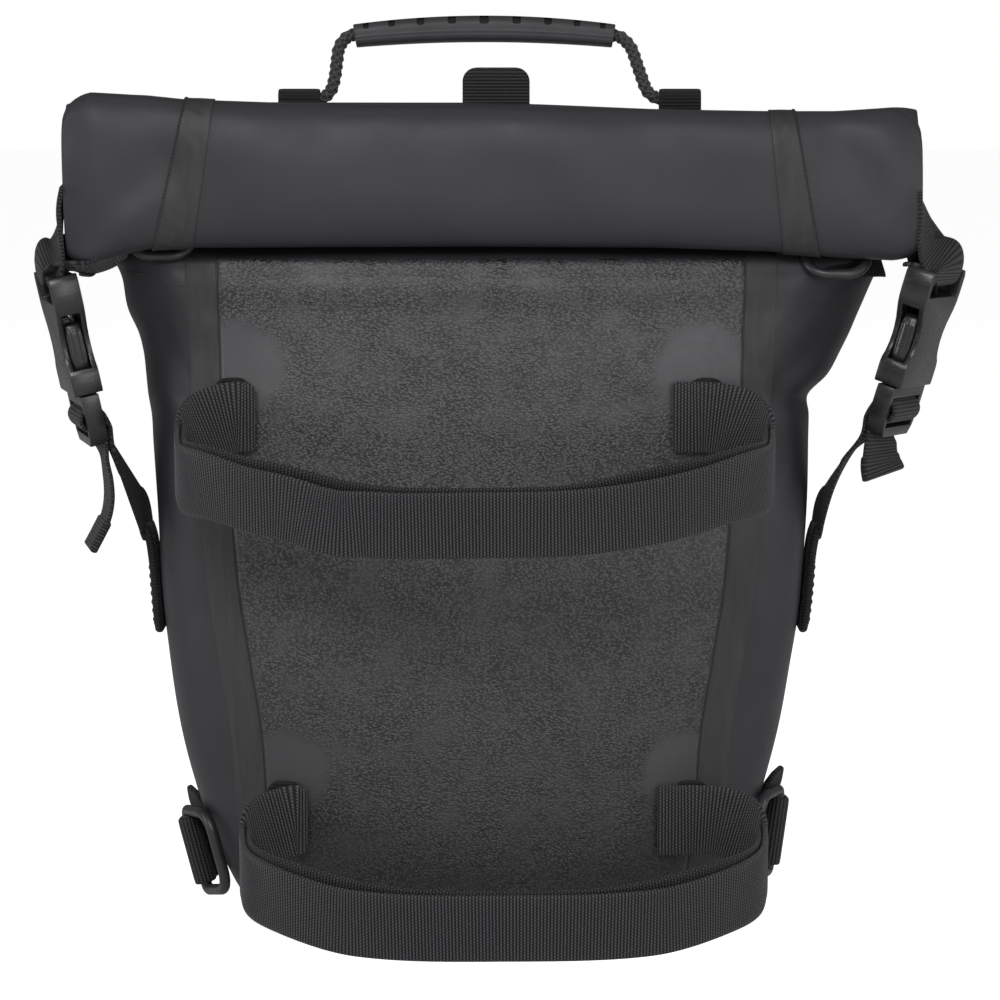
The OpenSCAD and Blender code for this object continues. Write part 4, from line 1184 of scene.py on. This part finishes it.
# The free end from there: place and normal; and the length of its hem
TAIL_HANG = {
    "left": [(1.2, 0.4, -5, -0.98, -0.17, 0.1), (2.4, 0.8, -12, -0.98, -0.18, 0),
             (2.8, 1.0, -20, -0.98, -0.18, 0), (1.8, 0.8, -26, -0.96, -0.17, 0.2),
             (-1.0, 0.4, -32, -0.92, -0.16, 0.35), (-4.2, 0, -38, -0.9, -0.16, 0.4)],
    "right": [(0.1, -0.3, -3, 0.87, -0.5, 0), (0, -0.3, -7, 0.84, -0.53, 0),
              (0.3, -0.4, -11, 0.8, -0.58, 0.05), (1.4, -0.6, -15, 0.74, -0.62, 0.2)],
}
TAIL_HEM = {"left": 12, "right": 7.5}


def make_threaded_tail(side, material):
    """Webbing threaded over the ladder lock's middle bar, with its free hemmed end hanging below."""
    stations = [buckle_station(side, s, off, out, up) for off, s, out, up in LOCK_ROUTE]
    x0, y0, z0 = stations[-1][:3]
    stations += [(x0 + x, y0 + y, z0 + z, *normal) for x, y, z, *normal in TAIL_HANG[side]]
    hem = TAIL_HEM[side]
    return band(f"tail_web_{side}", stations, WEB_W - 0.6, 1.5, material, round_end=1.0, hem_end=hem)


SIDE_TAB_Y, SIDE_TAB_LOW, SIDE_TAB_TOP, SIDE_TAB_T = -10.0, 109.0, 148.0, 3.2


def side_face(z, sign):
    """x of the sack's side wall at the side tab."""
    half, mid, back, front, square = section_at(float(z))
    u = abs(SIDE_TAB_Y - (back + front) / 2) / ((front - back) / 2)
    x = mid + sign * half * (1 - u**square) ** (1 / square)
    return float(x + sign * swell(np.array(x), np.array(SIDE_TAB_Y), np.array(float(z))))


def make_side_tab(side, material):
    sign = SIDE_SIGN[side]
    lift = 0.4 + SIDE_TAB_T / 2
    stations = [(side_face(z, sign) + sign * (lift + extra), SIDE_TAB_Y, z, sign, 0, 0.05)
                for z, extra in ((SIDE_TAB_LOW + 1.6, 0.1), (118, 0.2), (128, 0.1), (138, 0.4), (145, 1.2),
                                 (SIDE_TAB_TOP + 2, 2.6))]
    return band(f"side_tab_web_{side}", stations, WEB_W, SIDE_TAB_T, material, round_start=5, round_end=3)


def make_side_tab_stitches(side, material):
    sign = SIDE_SIGN[side]
    parts = Parts()

    def at(y, z):
        return (side_face(z, sign) + sign * (0.45 + SIDE_TAB_T), SIDE_TAB_Y + y, z)

    stitch_box(parts, at, 114, 136, 9.5, (sign, 0, 0))
    return parts.build(f"side_tab_stitches_{side}", material)


def make_adjuster(side, material):
    """Webbing from the ladder lock down to the side tab, turning as it goes."""
    sign = SIDE_SIGN[side]
    low_x = side_face(SIDE_TAB_TOP, sign) + sign * (0.4 + SIDE_TAB_T / 2)
    start = [buckle_station(side, s, off, 1) for s, off in ((-9.5, -4.4), (-14, -5.3), (-19.5, -4.6))]
    mouth = Vector(start[-1][:3])
    turned = Vector(start[-1][3:])
    low = Vector((low_x + sign * 2.2, SIDE_TAB_Y, SIDE_TAB_TOP + 1))
    bow = 1.0 if side == "left" else 0.62
    middle = []
    for f in (0.2, 0.4, 0.6, 0.8):
        at = mouth.lerp(low, f)
        at.x = mouth.x + (low.x - mouth.x) * f**bow
        middle.append((*at, *turned.lerp(Vector((sign, 0, 0)), f)))
    end = [(*low, sign, 0, 0), (low_x + sign * 0.6, SIDE_TAB_Y, SIDE_TAB_TOP - 8, sign, 0, 0)]
    return band(f"adjuster_web_{side}", start + middle + end, WEB_W - 0.8, 1.3, material, rib=0.05)


# ------------------------------------------------------------------ D-rings

# Upper rings: x, y, z, lean, reach. Side rings: x, y, z, turn, lean
UPPER_RINGS = {"left": (-113.6, -35.7, 259.0, 40.0, 15.0), "right": (125.0, -39.4, 253.8, 45.0, 17.5)}
UPPER_GAP, UPPER_BAR = 19.0, 3.6        # inside width of a ring and thickness of its bar
SIDE_RINGS = {"left": (-103.5, -18.0, 31.5, 24.0, 15.0), "right": (105.5, -14.0, 38.0, 20.0, 8.0)}
SIDE_GAP, SIDE_DEPTH, SIDE_BAR = 26.0, 22.0, 4.0


def d_ring_rings(gap, depth, bar):
    """D-ring in the XY plane: straight bar along X through the origin, bow towards -Y."""
    half = gap / 2 + bar / 2
    foot = half - 0.6
    bow, heel = 7.5, 2.0
    path = []

    def line(x0, y0, x1, y1, steps):
        for f in np.linspace(0, 1, steps)[1:-1]:
            path.append((x0 + (x1 - x0) * f, y0 + (y1 - y0) * f, 0))

    def corner(x, y, r, start, steps):
        for k in range(steps + 1):
            a = math.radians(start - 90 * k / steps)
            path.append((x + r * math.cos(a), y + r * math.sin(a), 0))

    line(heel - half, 0, half - heel, 0, 24)
    corner(half - heel, -heel, heel, 90, 6)
    line(half, -heel, foot, bow - depth, 10)
    corner(foot - bow, bow - depth, bow, 0, 12)
    line(foot - bow, -depth, bow - foot, -depth, 8)
    corner(bow - foot, bow - depth, bow, -90, 12)
    line(-foot, bow - depth, -half, -heel, 10)
    corner(heel - half, -heel, heel, 180, 6)
    return tube_rings(path, (0, 0, 1), bar / 2, 20, closed=True)


def make_ring(name, rings, matrix, material):
    rows, count = rings.shape[:2]
    faces = ring_faces(rows, count, capped=False)
    last = (rows - 1) * count
    faces += [(last + i, last + (i + 1) % count, (i + 1) % count, i) for i in range(count)]
    points = [matrix @ Vector(p) for p in rings.reshape(-1, 3)]
    return make_object(name, np.array(points), faces, material)


def upper_matrix(side, lean):
    return Matrix.Translation(UPPER_RINGS[side][:3]) @ Matrix.Rotation(math.radians(lean), 4, "X")


def side_matrix(side):
    lean = math.radians(SIDE_SIGN[side] * SIDE_RINGS[side][4])
    return Matrix.Translation(SIDE_RINGS[side][:3]) @ Matrix.Rotation(lean, 4, "Y")


def moved(matrix, local):
    """Stations from local rows of place and normal."""
    turn = matrix.to_3x3()
    return [(*(matrix @ Vector(row[:3])), *(turn @ Vector(row[3:]))) for row in local]


def wrap_rows(r, tail, rise, back_tail):
    """Webbing round a bar along X, in the YZ plane: long tail towards +Y on the outside, short one inside."""
    rows = [(0, tail, rise, 0, 0.1, 1), (0, tail * 0.6, rise * 0.45 + r * 0.4, 0, 0.1, 1), (0, 5, r, 0, 0, 1)]
    rows += arc_stations(0, 0, 0, r, range(90, 271, 20))
    return rows + [(0, 5, -r, 0, 0, -1), (0, back_tail, -r + min(0, rise), 0, -0.1, -1)]


def make_ring_tab(name, matrix, r, tails, width, material):
    """Webbing folded round the straight bar of a D-ring; tails are wrap_rows' other three values."""
    return band(name, moved(matrix, wrap_rows(r, *tails)), width, 1.5, material)


def make_shoulder_strip(material):
    """Webbing sewn flat along the right shoulder behind its upper ring, with a square end at the edge."""
    rows = [(104, 246.8, 1.2), (116, 247, 1.3), (128, 247, 1.5), (136, 246.8, 2.2), (141.5, 246.4, 3.0)]
    stations = []
    for x, z, lift in rows:
        y = (wall_at(x, z - 5) + wall_at(x, z + 3)) / 2
        stations.append((x, y - lift, z, 0.15, -1, 0.35))
    return band("shoulder_strip", stations, 15, 1.5, material)


def make_side_ring_anchor(side, material):
    """Small folded webbing end that stands above the side ring's tab."""
    sign = SIDE_SIGN[side]
    x, y, z = SIDE_RINGS[side][:3]
    top = z + 19
    rows = [(x - sign * 3.5, y + 3, z + 8, sign, -0.5, 0.2), (x - sign * 1.8, y + 2, z + 13, sign, -0.5, 0.2),
            (x + sign * 0.2, y + 1, top, sign, -0.5, 0.4), (x + sign * 1.6, y, top + 3.5, sign, -0.4, 0.3)]
    return band(f"side_ring_anchor_{side}", rows, 13, 2.2, material, round_end=3)


# ------------------------------------------------------------------ hook-and-loop straps

# Each loop's middle x, half width, hinge y and z and droop in degrees; left and right: x of the sewn ends;
# slump: how far the side bends hang; level: the reach at which the loop is level again
STRAPS = {
    "upper": {"mid": -2.6, "half": 102.6, "y": -72.0, "z": 187.0, "droop": 22.0, "left": -80.0, "right": 67.0,
              "slump": 8.0, "level": 46.0},
    "lower": {"mid": 7.5, "half": 90.6, "y": -72.0, "z": 44.0, "droop": 17.0, "left": -62.0, "right": 62.0,
              "slump": 6.0, "level": 60.0},
}
STRAP_REACH, STRAP_SQUARE, STRAP_T = 64.0, 2.6, 1.9
ROOT_LIFT = 3.0


def strap_stations(strap, off, root_off):
    """Middle line of one layer: flat root, bend off the panel, drooping loop and back to the other root."""
    s = STRAPS[strap]
    droop = math.radians(s["droop"])
    stations = []

    def add(x, y, z, nx, ny, tilt):
        wide = np.array([0, -math.sin(tilt), math.cos(tilt)])
        n = np.array([nx, ny, 0.0])
        n = n - wide * np.dot(n, wide)
        n = n / np.linalg.norm(n)
        stations.append((x, y, z, *n))

    def root(sign, end):
        outer = s["mid"] + sign * s["half"]
        z = s["z"] + ROOT_LIFT + 1.4
        face = wall_at(end, z) - SKIN_GAP - PANEL_T - 0.25 - root_off
        rows = [(end + (outer - sign * 15 - end) * f, face, z, 0, -1, 0) for f in (0.0, 0.35, 0.68)]
        rows.append((outer - sign * 13, face - 0.4, z - 0.14 * s["slump"], -sign * 0.12, -1, 0))
        rows.append((outer - sign * 6, face - 2.6, z - 0.5 * s["slump"], -sign * 0.55, -0.85, 0))
        rows.append((outer - sign * 1.6, face - 7.4, z - 0.9 * s["slump"], -sign * 0.92, -0.4, droop * 0.3))
        return rows

    for row in root(-1, s["left"]):
        add(*row)
    for degrees in np.concatenate([np.arange(180, 150, -6), np.arange(150, 30, -5), np.arange(30, -1, -6)]):
        a = math.radians(degrees)
        c, d = math.cos(a), math.sin(a)
        x = s["half"] * float(spow(c, 2 / STRAP_SQUARE))
        v = STRAP_REACH * float(spow(d, 2 / STRAP_SQUARE))
        nx = float(spow(c, 2 - 2 / STRAP_SQUARE)) / s["half"]
        nv = float(spow(d, 2 - 2 / STRAP_SQUARE)) / STRAP_REACH
        size = math.hypot(nx, nv)
        nx, nv = nx / size, nv / size
        turn = droop * float(smoothstep(v, -6, 16))
        px, pv = s["mid"] + x + nx * off, v + nv * off
        z = s["z"] - pv * math.sin(droop) + strap_wave(strap, px, v, off > 0)
        add(px, s["y"] - pv * math.cos(droop), z, nx, -nv, turn)
    for row in reversed(root(1, s["right"])):
        x, y, z, nx, ny, tilt = row
        add(x, y, z, -nx, -ny, tilt)
    return fix_normals(stations)


def fix_normals(stations):
    """Turns every normal to the side that faces out of the loop."""
    fixed = []
    half = len(stations) / 2
    for k, row in enumerate(stations):
        n = np.array(row[3:])
        sign = -1 if k < half else 1
        wrap = k < 6 or k >= len(stations) - 6
        outward = np.array([sign * 1.0, 0.55, 0]) if wrap else np.array([sign * 0.02, -1.0, 0])
        if abs(n[0]) > 0.75 and not wrap:
            outward = np.array([sign * 1.0, 0, 0])
        fixed.append((*row[:3], *(n if np.dot(n, outward) >= 0 else -n)))
    return fixed


def strap_wave(strap, x, v, outer):
    """The band sags in the middle, and the inner layer stands a little above the outer one."""
    s = STRAPS[strap]
    far = abs(x - s["mid"])
    share = float(smoothstep(v, 14, 48))
    sag = -3.2 * (1 - float(smoothstep(far, 22, 88) if strap == "upper" else smoothstep(far, 50, 88)))
    ripple = 0.5 * math.sin(x / 23.0 + 1)
    if strap == "upper":
        ripple += 0.8 * math.exp(-((x + 68) / 9) ** 2) - 0.9 * math.exp(-((x + 50) / 8) ** 2)
    lift = 0.0 if outer else 1.3 + 2.0 * math.exp(-((far - 62) / 22) ** 2)
    drop = s["slump"] * (1 - float(smoothstep(v, 12, s["level"])))
    return (sag + (ripple if outer else 0.4 * ripple)) * share + lift * float(smoothstep(v, 6, 30)) - drop


def make_strap(strap, layer, material):
    outer = layer == "outer"
    off = STRAP_T / 2 if outer else -STRAP_T / 2 - 0.15
    stations = strap_stations(strap, off, 2.9 if outer else 0.9)
    width = WEB_W if outer else WEB_W - 1
    return band(f"{strap}_strap_{layer}_layer", stations, width, STRAP_T - 0.15, material, round_start=3.5,
                round_end=1.5, rib=0.13)


def make_anchor_tabs(material):
    """Small rounded webbing tabs above the sewn ends of the straps."""
    pieces = []
    for strap, s in STRAPS.items():
        for side, x in (("left", s["left"] - 8), ("right", s["right"] + 12)):
            z = s["z"] + ROOT_LIFT + WEB_W / 2
            face = wall_at(x, z) - SKIN_GAP - PANEL_T
            rows = [(x, face - 1.0, z - 10, 0, -1, 0), (x, face - 1.1, z - 3, 0, -1, 0.05),
                    (x, face - 1.2, z + 2.6, 0, -1, 0.1)]
            pieces.append(band(f"anchor_tab_{strap}_{side}", rows, 14, 1.6, material, round_end=5.5))
    return pieces


# ------------------------------------------------------------------ assembly


def place(piece, body, slot, *nodes):
    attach(piece, body)
    if nodes:
        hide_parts(*nodes)
    return piece


def patches():
    """Weld patches behind the strap roots: x, y, z, radius."""
    spots = []
    for name, s in STRAPS.items():
        radius = 19.0 if name == "upper" else 16.5
        for x in (s["left"] - 7, s["right"] + 10):
            z = s["z"] + 21
            spots.append((x, wall_at(x, z) - 2, z, radius))
    return spots


make_camera()
make_world(1.0, 0.17)
make_lights()
bpy.context.scene.view_settings.view_transform = "Standard"

MATERIALS = {
    "tarpaulin": tarpaulin_material(),
    "panel": panel_material(patches()),
    "side_tape": tape_material("seam_tape", 0.029, 0.5, 0.58),
    "roll_tape": tape_material("roll_tape", 0.024, 0.44, 0.54),
    "seam": flat_material("weld_ridge", 0.03, 0.5, 300, 0.05),
    "thread": flat_material("sewing_thread", 0.018, 0.6, 1800, 0.08),
    "webbing": webbing_material("webbing", (0.003, 0.003, 0.0034), (0.04, 0.04, 0.044)),
    "black_webbing": webbing_material("black_webbing", (0.003, 0.003, 0.0035), (0.013, 0.013, 0.015)),
    "loop_strap": webbing_material("loop_strap", (0.004, 0.004, 0.0045), (0.075, 0.073, 0.08), 0.6),
    "hook_strap": webbing_material("hook_strap", (0.0035, 0.0035, 0.004), (0.05, 0.049, 0.054), 0.8),
    "buckle": plastic_material("buckle_plastic", 0.011, 0.24, 0.38),
    "ring": plastic_material("ring_plastic", 0.02, 0.34, 0.5),
    "rubber": rubber_material(),
    "dimple": flat_material("dimple_shadow", 0.006, 0.7, 700, 0.05),
    "cord": cord_material(),
    "board": flat_material("board_plastic", 0.03, 0.5, 400, 0.1),
}

web, black, thread = (MATERIALS[key] for key in ("webbing", "black_webbing", "thread"))

make_floor()

# sack and panels
place(make_sack(MATERIALS["tarpaulin"]), "bag", "tarpaulin", "sack")
place(make_panel(MATERIALS["panel"]), "bag", "grip_panel", "back_panel")
for side in ("left", "right"):
    place(make_side_tape(side, MATERIALS["side_tape"]), "bag", "seam_tape", f"side_tape_{side}")
place(make_gusset_seams(MATERIALS["seam"]), "bag", "tarpaulin")

# rolled closure
place(make_roll(MATERIALS["tarpaulin"]), "bag", "tarpaulin", "rolled_top")
for side in ("left", "right"):
    place(make_roll_tape(side, MATERIALS["roll_tape"]), "bag", "seam_tape", f"roll_tape_{side}")
    place(make_roll_stitches(side, thread), "bag", "webbing")

# handle and loops
place(make_grip(MATERIALS["rubber"], MATERIALS["dimple"]), "handle", "grip_rubber", "handle_grip")
place(make_cord(MATERIALS["cord"]), "handle", "braided_cord", "handle_cord")
for side in ("left", "right"):
    place(make_handle_tab(side, black), "bag", "webbing", f"handle_tab_{side}")
place(make_top_loop(web), "bag", "webbing", "top_loop")
strip, strip_stitches = make_front_strip(black, thread)
place(strip, "bag", "webbing", "front_strip")
place(strip_stitches, "bag", "webbing")

# buckles and closure webbing
for side in ("left", "right"):
    matrix = buckle_matrix(side)
    female = moulded_copy(f"female_{side}", f"buckle_female_{side}", matrix, 0.75, MATERIALS["buckle"])
    place(female, "bag", "buckle_plastic", f"buckle_female_{side}")
    male = moulded_copy(f"male_lock_{side}", f"buckle_male_{side}", matrix, 0.5, MATERIALS["buckle"])
    place(male, f"male_{side}", "buckle_plastic", f"buckle_male_{side}")
    for where in ("near", "far"):
        node = f"prong_{side}_{where}"
        place(make_prong(side, where, MATERIALS["buckle"]), node, "buckle_plastic", node)
    place(make_roll_webbing(side, web), "bag", "webbing", f"roll_webbing_{side}")
    place(make_threaded_tail(side, web), f"male_{side}", "webbing", f"tail_{side}")
    place(make_side_tab(side, black), "bag", "webbing", f"side_tab_{side}")
    place(make_side_tab_stitches(side, thread), "bag", "webbing")
    adjuster = make_adjuster(side, web)
    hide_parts(f"adjuster_{side}")
    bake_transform(adjuster)

# D-rings
for side in ("left", "right"):
    lean, reach = UPPER_RINGS[side][3:]
    ring = make_ring(f"upper_ring_loop_{side}", d_ring_rings(UPPER_GAP, reach, UPPER_BAR),
                     upper_matrix(side, 90 - lean), MATERIALS["ring"])
    place(ring, f"upper_ring_{side}", "ring_plastic", f"upper_ring_{side}")
    tab = make_ring_tab(f"upper_ring_tab_web_{side}", upper_matrix(side, 75), UPPER_BAR / 2 + 1.1,
                        (11, 1.2, 9), UPPER_GAP - 1, black)
    place(tab, "bag", "webbing", f"upper_ring_tab_{side}")
    sign = SIDE_SIGN[side]
    turn = SIDE_RINGS[side][3]
    matrix = (side_matrix(side) @ Matrix.Rotation(math.radians(-sign * turn), 4, "Z")
              @ Matrix.Rotation(math.radians(90), 4, "Y"))
    ring = make_ring(f"side_ring_loop_{side}", d_ring_rings(SIDE_GAP, SIDE_DEPTH, SIDE_BAR), matrix,
                     MATERIALS["ring"])
    place(ring, f"side_ring_{side}", "ring_plastic", f"side_ring_{side}")
    matrix = side_matrix(side) @ Matrix.Rotation(math.radians(sign * 90), 4, "Y")
    tab = make_ring_tab(f"side_ring_tab_web_{side}", matrix, SIDE_BAR / 2 + 1.15, (32, -3.6, 18),
                        SIDE_GAP - 1.4, web)
    place(tab, "bag", "webbing", f"side_ring_tab_{side}")
    place(make_side_ring_anchor(side, black), "bag", "webbing")

place(make_shoulder_strip(black), "bag", "webbing")

# straps
for strap in ("upper", "lower"):
    for layer in ("outer", "inner"):
        slot = "loop_strap" if layer == "outer" else "hook_strap"
        piece = make_strap(strap, layer, MATERIALS[slot])
        nodes = [f"{strap}_strap_{layer}"]
        if layer == "outer":
            nodes += [f"{strap}_root_left", f"{strap}_root_right"]
        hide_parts(*nodes)
        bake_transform(piece)
for index, tab in enumerate(make_anchor_tabs(black)):
    place(tab, "bag", "webbing", *(["strap_anchor_tabs"] if index == 0 else []))

# stiff inner pieces keep their CAD shape
for node in ("back_board", "base_board", "roll_stiffener"):
    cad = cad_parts[node]
    if cad.data.materials:
        cad.material_slots[0].material = MATERIALS["board"]
    else:
        cad.data.materials.append(MATERIALS["board"])
